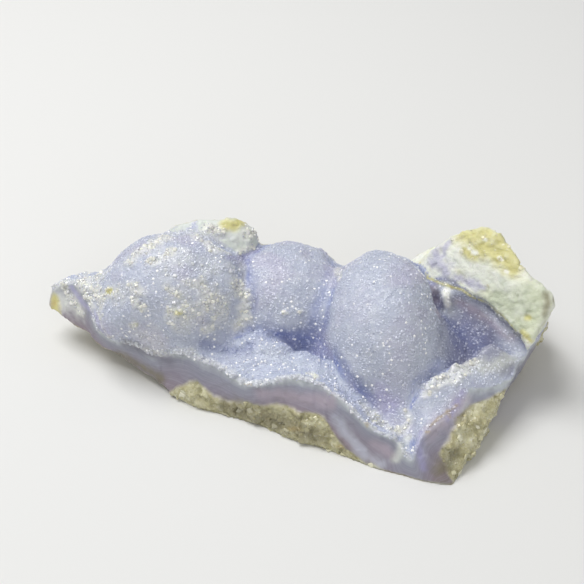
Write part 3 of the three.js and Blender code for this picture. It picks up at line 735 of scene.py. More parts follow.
# The quartz under the chalcedony: the height of its upper edge along the front, by x, and where it starts on
# the right side, by y.
QUARTZ_FRONT = (
    (-28, -1), (-25.3, 2.7), (-23.8, 3.9), (-22.3, 4.8), (-20.8, 5.3), (-19.2, 4.6), (-17.2, 3.3),
    (-14.5, 2.9), (-10, 4.5), (-4, 6), (0, 6.4), (3.8, 7.2), (4.8, 6.6), (6.2, 4.7), (7.4, 3.5), (8.7, 2),
    (11.6, 1), (14.5, 0.7), (17, -0.5), (60, -0.5),
)
QUARTZ_SIDE = (
    (0.8, 29.5), (1.4, 27.9), (2.6, 27.4), (3.8, 26.6), (6.3, 28), (7.9, 28.7), (9.7, 30.1), (12.6, 32.8),
    (14.9, 37.1), (17.3, 40.9), (19.2, 43), (22, 46), (30, 49),
)


# Unevenness by name. Each layer is a height in millimetres, a kind, the length of its bumps in millimetres,
# a seed, and for rolling the number of ever finer bumps, or for facets the tilt of its chips.
UNEVENNESS = {
    "quartz line": ((0.7, rolling, 2.6, 41, 3),),
    "lip line": ((0.5, rolling, 2.2, 42, 2),),
    "crest line": ((0.5, rolling, 1.6, 43, 2),),
    "cap patches": ((1, rolling, 2.4, 44, 3),),
    "mark edges": ((1, rolling, 1.5, 51, 3),),
    "sugar patches": ((1, rolling, 4.0, 52, 2),),
    "growth": ((0.16, rolling, 2.6, 61, 3), (0.06, facets, 1.1, 60)),
    "ledge": ((0.12, facets, 1.3, 71), (0.12, rolling, 1.8, 72, 2)),
    "waxy": ((0.22, rolling, 4.5, 62, 3), (0.1, facets, 2.6, 63)),
    "edge": ((1, facets, 1.4, 73),),
    "quartz": ((0.4, facets, 2.6, 65, 1.2), (0.14, facets, 1.2, 77), (0.2, rolling, 3.4, 66)),
    "rind": ((0.45, rolling, 4.0, 67, 4), (0.25, facets, 2.2, 68)),
    "crust": ((0.25, facets, 1.1, 69),),
    "right crust": ((0.3, facets, 2.2, 79),),
    "crest": ((0.4, facets, 1.5, 76),),
    "block": ((0.08, facets, 5.0, 70, 2.0), (0.06, rolling, 1.6, 75, 3)),
    "crumbs": ((1, facets, 1.2, 74, 1.5),),
}


def uneven(points, name, start=0):
    return sum((height * kind(points, *rest) for height, kind, *rest in UNEVENNESS[name]), start)


# Each pair is where a part of the surface is not yet there, and where it is fully there. They are distances,
# heights or places in millimetres, but for the two kinds of patches.
QUARTZ_BEGINS = (-0.5, 0.5)
QUARTZ_TOP = 13
NEAR_HOLLOW = (4.5, 3.5)
UNDER_LIP_LINE = (0.2, -0.2)
HOLLOW_LEFT_END = 25
HOLLOW_SHADE = (25, 32)
HOLLOW_FRONT = (18, 20)
WITHIN_RIGHT_SIDE = (-0.4, -0.8)
OUTER_FACE = (-0.5, -0.1)
OFF_OUTER_FACE = (-0.5, -0.2)
UNDERSIDE = (0.5, 0.1)
NEAR_PIT = (1.0, 0.5)
BEYOND_BLOCK = (0.6, 1.4)
BY_BLOCK_SIDE = (-0.8, -0.2)
RIND_BEGINS = (20, 30)
ON_LINING = (0.7, 0.45)
ON_CAP = (1.5, 0.8)
CAP_HEIGHT = (19, 21)
INSIDE_CAP = (0, -1)
ON_LEDGE = (1.2, 0.6)
CREST_BEGINS = (-1.1, -0.3)
UNDER_BLOCK = ((26, 30), (27, 30), (12, 15))
BLOCK_LEFT = (21, 23)
BLOCK_FOOT = (14, 16)
HIGH_HOLLOW = (9, 13)
ON_SHOULDER = (1.0, 0.4)
SHOULDER_HEIGHT = (6, 12)
FEWER_TO_THE_RIGHT = (8, 14)
CAP_PATCHES = (0.1, 0.6)
SUGAR_PATCHES = (-0.1, 0.5)
# The height from which the hollow's own distance counts, and the greatest depth, in millimetres.
HOLLOW_DEPTH_FROM = 11
DEEPEST = 20
# How free the ledge and the upper hollow count at least, so that less painted crease shade falls on them,
# and the share of cream that the right part lacks.
LEDGE_FREEDOM = 0.85
HOLLOW_FREEDOM = 0.3
FEWER = 0.3


def quartz_weight(points):
    front = np.interp(points[:, 0], *zip(*QUARTZ_FRONT)) - points[:, 2]
    side = points[:, 0] - np.interp(points[:, 1], *zip(*QUARTZ_SIDE))
    side = np.minimum(side, QUARTZ_TOP - points[:, 2])
    return smoothstep(*QUARTZ_BEGINS, np.maximum(front, side) + uneven(points, "quartz line"))


def survey(points, normals):
    """What lies at each point of the surface, as weights from 0 to 1 and a depth in millimetres."""
    x, y, z = points.T
    grown = shifted(points, [BROAD_SWELL, SHORT_SWELL])
    broken = shifted(points, [BROAD_SWELL])
    outside = outer_breaks(points)
    below = join(lobes(grown), floor_and_rims(grown), SOFT_CREASE)
    hollow = np.abs(cavity(grown))
    over_lip = z - np.interp(x, *zip(*LIP_LINE)) + uneven(points, "lip line")
    in_hollow = smoothstep(*NEAR_HOLLOW, hollow) * smoothstep(*UNDER_LIP_LINE, over_lip)
    in_hollow *= smoothstep(*WITHIN_RIGHT_SIDE, half_space(points, RIGHT_SIDE))
    in_hollow *= smoothstep(*HOLLOW_FRONT, y) * (x > HOLLOW_LEFT_END)
    under = smoothstep(*UNDERSIDE, z)
    pitted = smoothstep(*NEAR_PIT, np.abs(pits(points)))
    beyond_block = smoothstep(*BEYOND_BLOCK, half_space(points, BLOCK_SIDE))
    outer = np.maximum.reduce([smoothstep(*OUTER_FACE, outside), pitted, beyond_block])
    rind = outer * smoothstep(*RIND_BEGINS, y + z)
    in_cap = ellipsoid(grown, CAP)
    on_cap = smoothstep(*ON_CAP, np.abs(in_cap)) * smoothstep(*CAP_HEIGHT, z)
    broken_top = outside_breaks(broken, CAP_BREAKS, BROKEN_EDGE)
    on_cap = np.maximum(on_cap, smoothstep(*ON_CAP, np.abs(broken_top)) * smoothstep(*INSIDE_CAP, in_cap))
    lined = np.maximum(smoothstep(*ON_LINING, np.abs(below)), in_hollow)
    lined = np.maximum(lined, on_cap * smoothstep(*CAP_PATCHES, uneven(points, "cap patches")))
    by_block_side = smoothstep(*BY_BLOCK_SIDE, half_space(points, BLOCK_SIDE))
    lined *= 1 - np.maximum.reduce([smoothstep(*OFF_OUTER_FACE, outside), under, pitted, by_block_side])
    bare = 1 - lined
    rim_gap = outside_breaks(broken, RIM_BREAKS, BROKEN_EDGE)
    ledge = lined * smoothstep(*ON_LEDGE, np.abs(broken_rim(grown, LEDGE_OUTLINE, LEDGE_SHEET)))
    # The part under the overhanging block, where painted shade is laid.
    under_block = 1
    for part, place in zip(UNDER_BLOCK, (x, y, z)):
        under_block = under_block * smoothstep(*part, place)
    free = np.maximum(openness(points, normals), HOLLOW_FREEDOM * in_hollow * smoothstep(*HIGH_HOLLOW, z))
    found = {
        "lined": lined,
        "depth": np.clip(np.minimum(-below, np.where(z > HOLLOW_DEPTH_FROM, hollow, FAR)), 0, DEEPEST),
        "quartz": quartz_weight(points) * bare * (1 - rind),
        "rind": np.maximum(rind, under) * bare,
        # Painted shade: where this is low, the lining is painted deep blue.
        "open": np.maximum(free, LEDGE_FREEDOM * ledge),
        "ledge": ledge,
        # Painted shade: how strongly the lining takes the shaded colour, in the hollow and under the block.
        "hollow": np.maximum(in_hollow * smoothstep(*HOLLOW_SHADE, x), under_block),
        "crest": ledge * smoothstep(*CREST_BEGINS, rim_gap + uneven(points, "crest line")),
        "block": bare * (1 - rind) * smoothstep(*BLOCK_FOOT, z) * smoothstep(*BLOCK_LEFT, x),
    }
    ragged = uneven(points, "mark edges")
    for name, (fade, raggedness, lines) in MARKS.items():
        found[name] = mark_weight(points, raggedness * ragged, fade, lines)
    shoulder = smoothstep(*ON_SHOULDER, np.abs(ellipsoid(grown, LEFT_LOBE)))
    patches = smoothstep(*SUGAR_PATCHES, uneven(points, "sugar patches"))
    found["sugar"] = lined * shoulder * smoothstep(*SHOULDER_HEIGHT, z) * patches
    found["few"] = 1 - FEWER * smoothstep(*FEWER_TO_THE_RIGHT, x)
    return found


# Heights of the relief, in millimetres: how far the growths are set back, how far quartz and crusts stand
# out, the chips along the broken layers' upper edge, and the crumbs of the block, with more in its yellow
# patch.
SET_BACK = 0.12
QUARTZ_RISE = 0.2
CRUST_RISE = 0.15
EDGE_CHIPS = 0.16
CRUMBS = 0.06
YELLOW_CRUMBS = 0.05
# The depth under the lining in which the edge is chipped, the share of its waxy relief that the block loses,
# and the height above the floor that stays plain.
CHIPPED_DEPTH = (1.5, 0.3)
BLOCK_SMOOTHER = 0.5
PLAIN_FOOT = 0.6


def relief(points, found):
    """How far each point of the surface stands out, in millimetres, from the smooth form."""
    lined, quartz, rind, block = (found[name] for name in ("lined", "quartz", "rind", "block"))
    broken = (1 - lined) * (1 - quartz) * (1 - rind)
    growth = uneven(points, "growth") - SET_BACK
    growth = growth + found["ledge"] * uneven(points, "ledge")
    growth = growth + found["crest"] * uneven(points, "crest", CRUST_RISE)
    waxy = uneven(points, "waxy") * (1 - BLOCK_SMOOTHER * block)
    edge = smoothstep(*CHIPPED_DEPTH, found["depth"]) * EDGE_CHIPS * uneven(points, "edge")
    crumbly = block * uneven(points, "block")
    crumbly = crumbly + block * (CRUMBS + YELLOW_CRUMBS * found["yellow"]) * uneven(points, "crumbs")
    crust = uneven(points, "crust", CRUST_RISE) + uneven(points, "right crust") * (points[:, 0] > 0)
    out = lined * growth + broken * (waxy + edge + crumbly) + quartz * uneven(points, "quartz", QUARTZ_RISE)
    out = out + rind * uneven(points, "rind") * (1 - quartz) + found["cream"] * crust * (1 - rind)
    low = points[:, 2] < PLAIN_FOOT
    return np.where(low, np.minimum(out, 0) * smoothstep(0, PLAIN_FOOT, points[:, 2]), out)


class Stone:
    """The surface that every piece is built on: its points, faces, normals and what lies at each point."""

    def __init__(self, cell):
        values = near_surface_values(cell)
        fill_touching(values)
        points, self.quads = surface_net(values, cell)
        points = onto_surface(points, cell)
        normals = corner_normals(points, self.quads)
        self.found = survey(points, normals)
        self.points = points + normals * relief(points, self.found)[:, None]
        self.points[:, 2] = np.maximum(self.points[:, 2], 0)


def to_frame(points):
    return (np.asarray(points) + FORM_TO_FRAME) * MM


def mesh_object(name, points, faces, smooth=True):
    """A mesh object in the frame's metres, from points in the form's millimetres."""
    mesh = bpy.data.meshes.new(name)
    faces = np.asarray(faces)
    mesh.vertices.add(len(points))
    mesh.vertices.foreach_set("co", to_frame(points).astype(np.float32).ravel())
    mesh.loops.add(faces.size)
    mesh.loops.foreach_set("vertex_index", faces.ravel().astype(np.int32))
    mesh.polygons.add(len(faces))
    mesh.polygons.foreach_set("loop_start", np.arange(0, faces.size, faces.shape[1], dtype=np.int32))
    mesh.polygons.foreach_set("use_smooth", np.full(len(faces), smooth))
    mesh.update(calc_edges=True)
    mesh.validate()
    piece = bpy.data.objects.new(name, mesh)
    bpy.context.scene.collection.objects.link(piece)
    return piece


def add_weights(mesh, weights):
    for name, values in weights.items():
        mesh.attributes.new(name, "FLOAT", "POINT").data.foreach_set("value", values.astype(np.float32))


def finish_piece(piece, slot, *nodes):
    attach(piece, "root")
    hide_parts(*nodes)


def paint(red, green, blue):
    """A colour as seen on a screen, from 0 to 255, as the linear values that Blender keeps."""
    channels = [c / 255 for c in (red, green, blue)]
    return tuple(c / 12.92 if c <= 0.04045 else ((c + 0.055) / 1.055) ** 2.4 for c in channels)


class Nodes:
    """Adds nodes to a tree. An input is a socket to link or a value to set, by its name or its number."""

    def __init__(self, tree):
        self.tree = tree

    def add(self, kind, inputs=None, **settings):
        node = self.tree.nodes.new(kind)
        for name, value in settings.items():
            setattr(node, name, value)
        for key, value in (inputs or {}).items():
            if isinstance(value, bpy.types.NodeSocket):
                self.tree.links.new(value, node.inputs[key])
            else:
                node.inputs[key].default_value = value
        return node

    def feed(self, shader, name, value):
        self.tree.links.new(value, shader.inputs[name])

    def weight(self, name, factor=None):
        """A named weight of the surface, multiplied where a factor is given."""
        value = self.add("ShaderNodeAttribute", attribute_name=name).outputs["Fac"]
        return value if factor is None else self.times(value, factor)

    def math(self, operation, *values, clamp=False):
        node = self.add("ShaderNodeMath", dict(enumerate(values)), operation=operation, use_clamp=clamp)
        return node.outputs[0]

    def times(self, first, second):
        return self.math("MULTIPLY", first, second)

    def plus(self, first, second, clamp=False):
        return self.math("ADD", first, second, clamp=clamp)

    def minus(self, first, second):
        return self.math("SUBTRACT", first, second)

    def vector(self, operation, **inputs):
        """A sum with vectors. Its inputs are first, second and scale."""
        numbers = {"first": 0, "second": 1, "scale": "Scale"}
        given = {numbers[name]: value for name, value in inputs.items()}
        return self.add("ShaderNodeVectorMath", given, operation=operation).outputs[0]

    def combine(self, x, y, z=0.0):
        return self.add("ShaderNodeCombineXYZ", {0: x, 1: y, 2: z}).outputs[0]

    def spread(self, value, low, high, to_low=0.0, to_high=1.0):
        inputs = {"Value": value, "From Min": low, "From Max": high, "To Min": to_low, "To Max": to_high}
        return self.add("ShaderNodeMapRange", inputs, interpolation_type="SMOOTHSTEP").outputs[0]

    def noise(self, length, detail=3.0, rough=0.55):
        """Cloudy unevenness from 0 to 1 with blots of the given length in metres."""
        place = self.add("ShaderNodeTexCoord").outputs["Object"]
        inputs = {"Vector": place, "Scale": 1 / length, "Detail": detail, "Roughness": rough}
        return self.add("ShaderNodeTexNoise", inputs).outputs["Fac"]

    def grains(self, length):
        """A random vector in each grain of the given length in metres."""
        place = self.add("ShaderNodeTexCoord").outputs["Object"]
        return self.add("ShaderNodeTexVoronoi", {"Vector": place, "Scale": 1 / length}).outputs["Color"]

    def mix(self, share, first, second):
        node = self.add("ShaderNodeMix", {0: share}, data_type="RGBA", clamp_factor=True)
        for socket, colour in ((node.inputs[6], first), (node.inputs[7], second)):
            if isinstance(colour, bpy.types.NodeSocket):
                self.tree.links.new(colour, socket)
            else:
                socket.default_value = (*colour, 1.0)
        return node.outputs[2]

    def ramp(self, value, stops):
        """Colours over a value from 0 to 1, by stops of a position and a colour."""
        node = self.add("ShaderNodeValToRGB", {"Fac": value})
        ramp = node.color_ramp
        while len(ramp.elements) < len(stops):
            ramp.elements.new(0.5)
        for element, (position, colour) in zip(ramp.elements, stops):
            element.position = position
            element.color = (*colour, 1.0)
        return node.outputs["Color"]

    def bump(self, height, distance, strength=1.0, normal=None):
        inputs = {"Height": height, "Distance": distance, "Strength": strength}
        if normal is not None:
            inputs["Normal"] = normal
        return self.add("ShaderNodeBump", inputs).outputs["Normal"]


def painted(stops):
    """Stops for a ramp from rows of a position and a colour as seen on a screen."""
    return [(position, paint(*seen)) for position, *seen in stops]


def new_material(name):
    material = bpy.data.materials.new(name)
    material.use_nodes = True
    material.node_tree.nodes.clear()
    nodes = Nodes(material.node_tree)
    shader = nodes.add("ShaderNodeBsdfPrincipled")
    output = nodes.add("ShaderNodeOutputMaterial")
    material.node_tree.links.new(shader.outputs["BSDF"], output.inputs["Surface"])
    return material, nodes, shader


QUARTZ_IOR = 1.54
# How far red, green and blue light go under the surface, each against the others.
GLOW_RADIUS = (1.0, 0.9, 1.1)
GLOW_WEIGHT = 0.5


def set_glow_through(shader, scale):
    """Light that enters the stone and leaves it again close by, as in wax."""
    shader.inputs["Subsurface Weight"].default_value = GLOW_WEIGHT
    shader.inputs["Subsurface Radius"].default_value = GLOW_RADIUS
    shader.inputs["Subsurface Scale"].default_value = scale
    shader.inputs["IOR"].default_value = QUARTZ_IOR


def growth_colour(nodes, look):
    """The hollow's lining, with painted shade and light: deep blue in the creases, pale lavender where it
    stands free, by how open each point is.
    """
    deep, blue, pale = (tuple(getattr(look, name)) for name in ("deep", "blue", "pale"))
    free = nodes.plus(nodes.weight("open"), nodes.times(nodes.noise(0.006), 0.2))
    # Painted shade: the less open a point, the deeper and bluer its colour; the most open points are painted
    # pale.
    shade = nodes.ramp(free, ((0.25, deep), (0.55, blue), (0.85, pale), (1.0, pale)))
    # Lighter spots at random, laid only where the lining is open: partly painted light on its free tops.
    mottled = nodes.spread(nodes.noise(0.0026, 4.0, 0.65), 0.45, 0.65, 0.0, 0.4)
    shade = nodes.mix(nodes.weight("open", mottled), shade, tuple(look.mottle))
    lilac = nodes.spread(nodes.noise(0.011, 2.0), 0.45, 0.62)
    shade = nodes.mix(nodes.times(lilac, 0.6), shade, tuple(look.lavender))
    # Painted shade under the overhanging block and in the hollow beneath it.
    shade = nodes.mix(nodes.weight("hollow", 0.75), shade, tuple(look.shaded))
    return nodes.mix(nodes.weight("ledge", 0.75), shade, tuple(look.frost))


# Clouded paints of marks: the length of their blots in metres and their two shades. And plain ones.
PAINTS = {
    "cream": (0.0016, (228, 227, 218), (246, 245, 238)),
    "yellow": (0.0022, (198, 191, 98), (232, 224, 148)),
    "pale": (0.004, (220, 226, 216), (236, 236, 232)),
    "pink": (0.004, (176, 164, 176), (190, 176, 188)),
    "green": (0.003, (184, 194, 164), (206, 212, 184)),
    "iron": (0.0012, (164, 140, 84), (206, 184, 118)),
    "dark": (0.003, (112, 106, 78), (138, 130, 100)),
    # Painted light that lifts shaded parts.
    "milky": (0.004, (200, 206, 222), (212, 218, 230)),
}
# Plain paints: painted crease shade, painted shade on the ledge's left, and white painted highlights.
PLAIN_PAINTS = {"blueness": (112, 122, 172), "band": (126, 125, 138), "glint": (255, 254, 244)}
# How fully each mark covers what is under it, in the order in which they are laid on.
COVER = {
    "pale": 0.7, "green": 0.8, "pink": 0.7, "violet": 0.55, "milky": 0.6, "blueness": 0.55, "band": 0.8,
    "sugar": 0.3, "cream": 0.6, "yellow": 0.8, "crest": 0.45, "dark": 0.75, "iron": 0.55, "glint": 0.9,
}


def marked_colour(nodes, colour, look):
    """Lays the marks over a colour, one after another."""
    paints = {name: paint(*seen) for name, seen in PLAIN_PAINTS.items()}
    for name, (length, first, second) in PAINTS.items():
        paints[name] = nodes.mix(nodes.noise(length), paint(*first), paint(*second))
    paints.update(violet=tuple(look.violet), sugar=paints["cream"], crest=paints["cream"])
    for name, most in COVER.items():
        colour = nodes.mix(nodes.weight(name, most), colour, paints[name])
    return colour


def sparkle(nodes, length, lean):
    """The normals of many tiny flat faces, each leaning its own way, for the gloss alone."""
    own = nodes.vector("SUBTRACT", first=nodes.grains(length), second=(0.5, 0.5, 0.5))
    own = nodes.vector("SCALE", first=own, scale=lean)
    normal = nodes.add("ShaderNodeNewGeometry").outputs["Normal"]
    return nodes.vector("NORMALIZE", first=nodes.vector("ADD", first=normal, second=own))


# Colours of the stone's zones: a position from 0 to 1, and the colour as seen on a screen. The layers run
# from the lining down to a depth in millimetres, and they waver.
# Partly painted shade: the broken faces look forward, away from the light above, and are given the darker
# colours they show in shade.
LAYERS = (
    (0.0, 212, 218, 210), (0.06, 184, 190, 194), (0.14, 150, 152, 166), (0.4, 144, 137, 150),
    (0.6, 148, 134, 143), (0.75, 130, 121, 116), (1.0, 116, 108, 92),
)
LAYER_DEPTH = 12
LAYER_WAVER = 2.4
QUARTZ = ((0.3, 158, 152, 112), (0.46, 194, 188, 146), (0.6, 216, 212, 178), (0.8, 234, 232, 212))
CRUMB = ((0.3, 236, 236, 206), (0.5, 248, 250, 232), (0.7, 250, 252, 244))
RIND = (
    (0.28, 108, 88, 60), (0.4, 158, 142, 108), (0.52, 196, 188, 160), (0.66, 222, 219, 206),
    (0.8, 178, 166, 140),
)
CREAM_CRYSTALS = ((0.3, 216, 216, 212), (0.6, 230, 228, 216), (0.95, 252, 250, 240))
GLASSY_CHIPS = ((0.1, 186, 180, 142), (0.5, 194, 188, 150), (0.85, 206, 202, 166), (1.0, 232, 230, 208))


def stone_material(look):
    """One material for the whole stone: its lining, its waxy broken layers, its quartz and its rind."""
    material, nodes, shader = new_material("chalcedony")
    waver = nodes.times(nodes.minus(nodes.noise(0.005, 3.0), 0.5), LAYER_WAVER)
    depth = nodes.times(nodes.plus(nodes.weight("depth"), waver), 1 / LAYER_DEPTH)
    layers = nodes.ramp(depth, painted(LAYERS))
    streak_place = nodes.combine(nodes.weight("depth", 1.8), nodes.times(waver, 0.6))
    inputs = {"Vector": streak_place, "Scale": 2.0, "Detail": 4.0}
    streaks = nodes.add("ShaderNodeTexNoise", inputs).outputs["Fac"]
    layers = nodes.mix(nodes.spread(streaks, 0.4, 0.7, 0.0, 0.2), layers, paint(198, 196, 214))
    grown = growth_colour(nodes, look)
    quartz = nodes.ramp(nodes.noise(0.0026, 5.0, 0.65), painted(QUARTZ))
    crumb = nodes.ramp(nodes.noise(0.005, 5.0, 0.6), painted(CRUMB))
    rind = nodes.ramp(nodes.noise(0.007, 6.0, 0.62), painted(RIND))
    colour = nodes.mix(nodes.weight("lined"), layers, grown)
    colour = nodes.mix(nodes.weight("block"), colour, crumb)
    colour = nodes.mix(nodes.weight("rind"), colour, rind)
    colour = nodes.mix(nodes.weight("quartz"), colour, quartz)
    colour = marked_colour(nodes, colour, look)
    # Painted highlights: pale specks laid over the quartz as its glints.
    painted_quartz_glints = nodes.weight("quartz", nodes.times(nodes.spread(nodes.noise(0.0007), 0.6, 0.7), 0.35))
    nodes.feed(shader, "Base Color", nodes.mix(painted_quartz_glints, colour, paint(232, 230, 210)))
    waxy = nodes.spread(nodes.noise(0.002, 4.0), 0.3, 0.7, 0.32, 0.5)
    glassy = nodes.minus(waxy, nodes.weight("quartz", 0.16))
    nodes.feed(shader, "Roughness", nodes.plus(glassy, nodes.weight("rind", 0.2), clamp=True))
    skin = nodes.bump(nodes.noise(0.0012, 6.0, 0.6), 0.0002, 0.6)
    coarse = nodes.plus(nodes.weight("rind"), nodes.weight("block"))
    coarse = nodes.plus(nodes.weight("quartz"), coarse)
    chips = nodes.times(nodes.noise(0.0011, 6.0, 0.7), nodes.plus(coarse, 0.35))
    nodes.feed(shader, "Normal", nodes.bump(chips, 0.0004, 0.8, skin))
    gloss = nodes.plus(nodes.weight("lined"), nodes.weight("quartz", 0.8), clamp=True)
    nodes.feed(shader, "Coat Weight", nodes.times(gloss, 0.7))
    shader.inputs["Coat Roughness"].default_value = 0.12
    nodes.feed(shader, "Coat Normal", sparkle(nodes, 0.0005, 1.1))
    set_glow_through(shader, 0.0022)
    return material


def druse_material(look):
    """The fine crystals of the lining, coloured as the stone under them, with a few painted white as painted
    glints.
    """
    material, nodes, shader = new_material("quartz_druse")
    colour = marked_colour(nodes, growth_colour(nodes, look), look)
    own = nodes.weight("own")
    colour = nodes.mix(nodes.spread(own, 0.3, 1.0, 0.0, 0.3), colour, paint(232, 236, 248))
    # Painted glints: a random few grains are painted white, more on the ledge and fewer in the hollow's
    # painted shade.
    painted_glint_chance = nodes.math("FRACT", nodes.times(own, 37.7))
    painted_glint_chance = nodes.plus(nodes.times(painted_glint_chance, 0.6), nodes.times(own, 0.4))
    painted_glint_chance = nodes.plus(painted_glint_chance, nodes.times(nodes.minus(nodes.noise(0.005), 0.5), 0.5))
    painted_glint_chance = nodes.plus(painted_glint_chance, nodes.weight("ledge", 0.06))
    painted_glint_chance = nodes.minus(painted_glint_chance, nodes.weight("hollow", 0.12))
    nodes.feed(shader, "Base Color", nodes.mix(nodes.spread(painted_glint_chance, 0.84, 0.97), colour, paint(255, 255, 255)))
    shader.inputs["Roughness"].default_value = 0.12
    shader.inputs["IOR"].default_value = QUARTZ_IOR
    return material


def cream_material(look):
    """The coarse crystals: some as lavender as the lining, most cream."""
    material, nodes, shader = new_material("cream_quartz")
    own = nodes.weight("own")
    mixed = nodes.plus(nodes.times(own, 0.7), nodes.times(nodes.noise(0.003), 0.3))
    colour = nodes.ramp(mixed, painted(CREAM_CRYSTALS))
    in_mark = nodes.spread(nodes.weight("cream"), 0.0, 0.8, 0.4, 1.0)
    share = nodes.times(nodes.spread(own, 0.2, 1.0, 0.15, 1.0), in_mark)
    share = nodes.math("MAXIMUM", share, nodes.weight("block"))
    colour = nodes.mix(share, growth_colour(nodes, look), colour)
    colour = nodes.mix(nodes.weight("yellow", 0.6), colour, paint(238, 228, 160))
    nodes.feed(shader, "Base Color", colour)
    shader.inputs["Roughness"].default_value = 0.16
    set_glow_through(shader, 0.0005)
    nodes.feed(shader, "Normal", nodes.bump(nodes.noise(0.0006, 4.0), 0.0001))
    return material


def glassy_material():
    material, nodes, shader = new_material("glassy_quartz")
    colour = nodes.ramp(nodes.weight("own"), painted(GLASSY_CHIPS))
    # The chips take the same darker tone and painted shade.
    nodes.feed(shader, "Base Color", nodes.mix(nodes.weight("dark", 0.7), colour, paint(122, 115, 86)))
    shader.inputs["Roughness"].default_value = 0.1
    shader.inputs["IOR"].default_value = QUARTZ_IOR
    return material


# Grains: the width and depth of their foot, the zigzag of their shoulder and how far the tip moves aside.
GRAIN_FOOT = (0.8, -0.6)
GRAIN_ZIGZAG = 0.12
GRAIN_ASIDE = 0.3
# Blocks: the turn of their corners, the depth of their foot, the widths and heights of their waist and top,
# and how much more the top slants than the waist.
BLOCK_TURN = 0.3
BLOCK_DEPTH = -0.8
BLOCK_WAIST = (0.95, 0.95, 0.1)
BLOCK_TOP = (0.5, 0.6, 0.5)
TOP_SLANT = 1.2


def ring_of(sides, turn=0):
    angles = [2 * math.pi * (k + turn) / sides for k in range(sides)]
    return [(math.cos(angle), math.sin(angle)) for angle in angles]


def band_of(sides, low, high):
    """The four-sided faces between two rings of points, given by their first numbers."""
    pairs = [(k, (k + 1) % sides) for k in range(sides)]
    return [(low + k, low + after, high + after, high + k) for k, after in pairs]


def crystal_form(name, points, faces):
    mesh = bpy.data.meshes.new(name)
    mesh.from_pydata(points, [], faces)
    return bpy.data.objects.new(name, mesh)


def grain_form(name, sides, lean, shoulder):
    """A stubby crystal of radius 1: a foot, a short shank and a point that leans to one side."""
    ring = ring_of(sides)
    foot = [(GRAIN_FOOT[0] * x, GRAIN_FOOT[0] * y, GRAIN_FOOT[1]) for x, y in ring]
    shank = [(x, y, shoulder + GRAIN_ZIGZAG * (k % 2)) for k, (x, y) in enumerate(ring)]
    faces = [tuple(reversed(range(sides)))]
    for face in band_of(sides, 0, sides):
        faces += [face, (face[3], face[2], 2 * sides)]
    return crystal_form(name, foot + shank + [(lean, GRAIN_ASIDE * lean, 1.0)], faces)


def block_form(name, sides, slant):
    """A blocky crystal of radius 1 with a slanting flat top."""
    points = [(x, y, BLOCK_DEPTH) for x, y in ring_of(sides, BLOCK_TURN)]
    for (wide, deep, high), rise in ((BLOCK_WAIST, slant), (BLOCK_TOP, TOP_SLANT * slant)):
        points += [(wide * x, deep * y, high + rise * x) for x, y in ring_of(sides, BLOCK_TURN)]
    faces = [tuple(reversed(range(sides))), tuple(range(2 * sides, 3 * sides))]
    return crystal_form(name, points, faces + band_of(sides, 0, sides) + band_of(sides, sides, 2 * sides))


SCATTER_NUMBERS = (
    "Spacing", "Crowding", "Least size", "Most size", "Tilt", "Flatness", "Left end", "Right end",
)
SCATTER_INPUTS = dict.fromkeys(SCATTER_NUMBERS, "NodeSocketFloat")
SCATTER_INPUTS.update(Seed="NodeSocketInt", Forms="NodeSocketCollection", Finish="NodeSocketMaterial")
# More small crystals than large ones: the power that their random size is raised to.
SMALLER = 1.7
# Higher than the number of forms, so that each form is picked about as often.
PICKS = 60


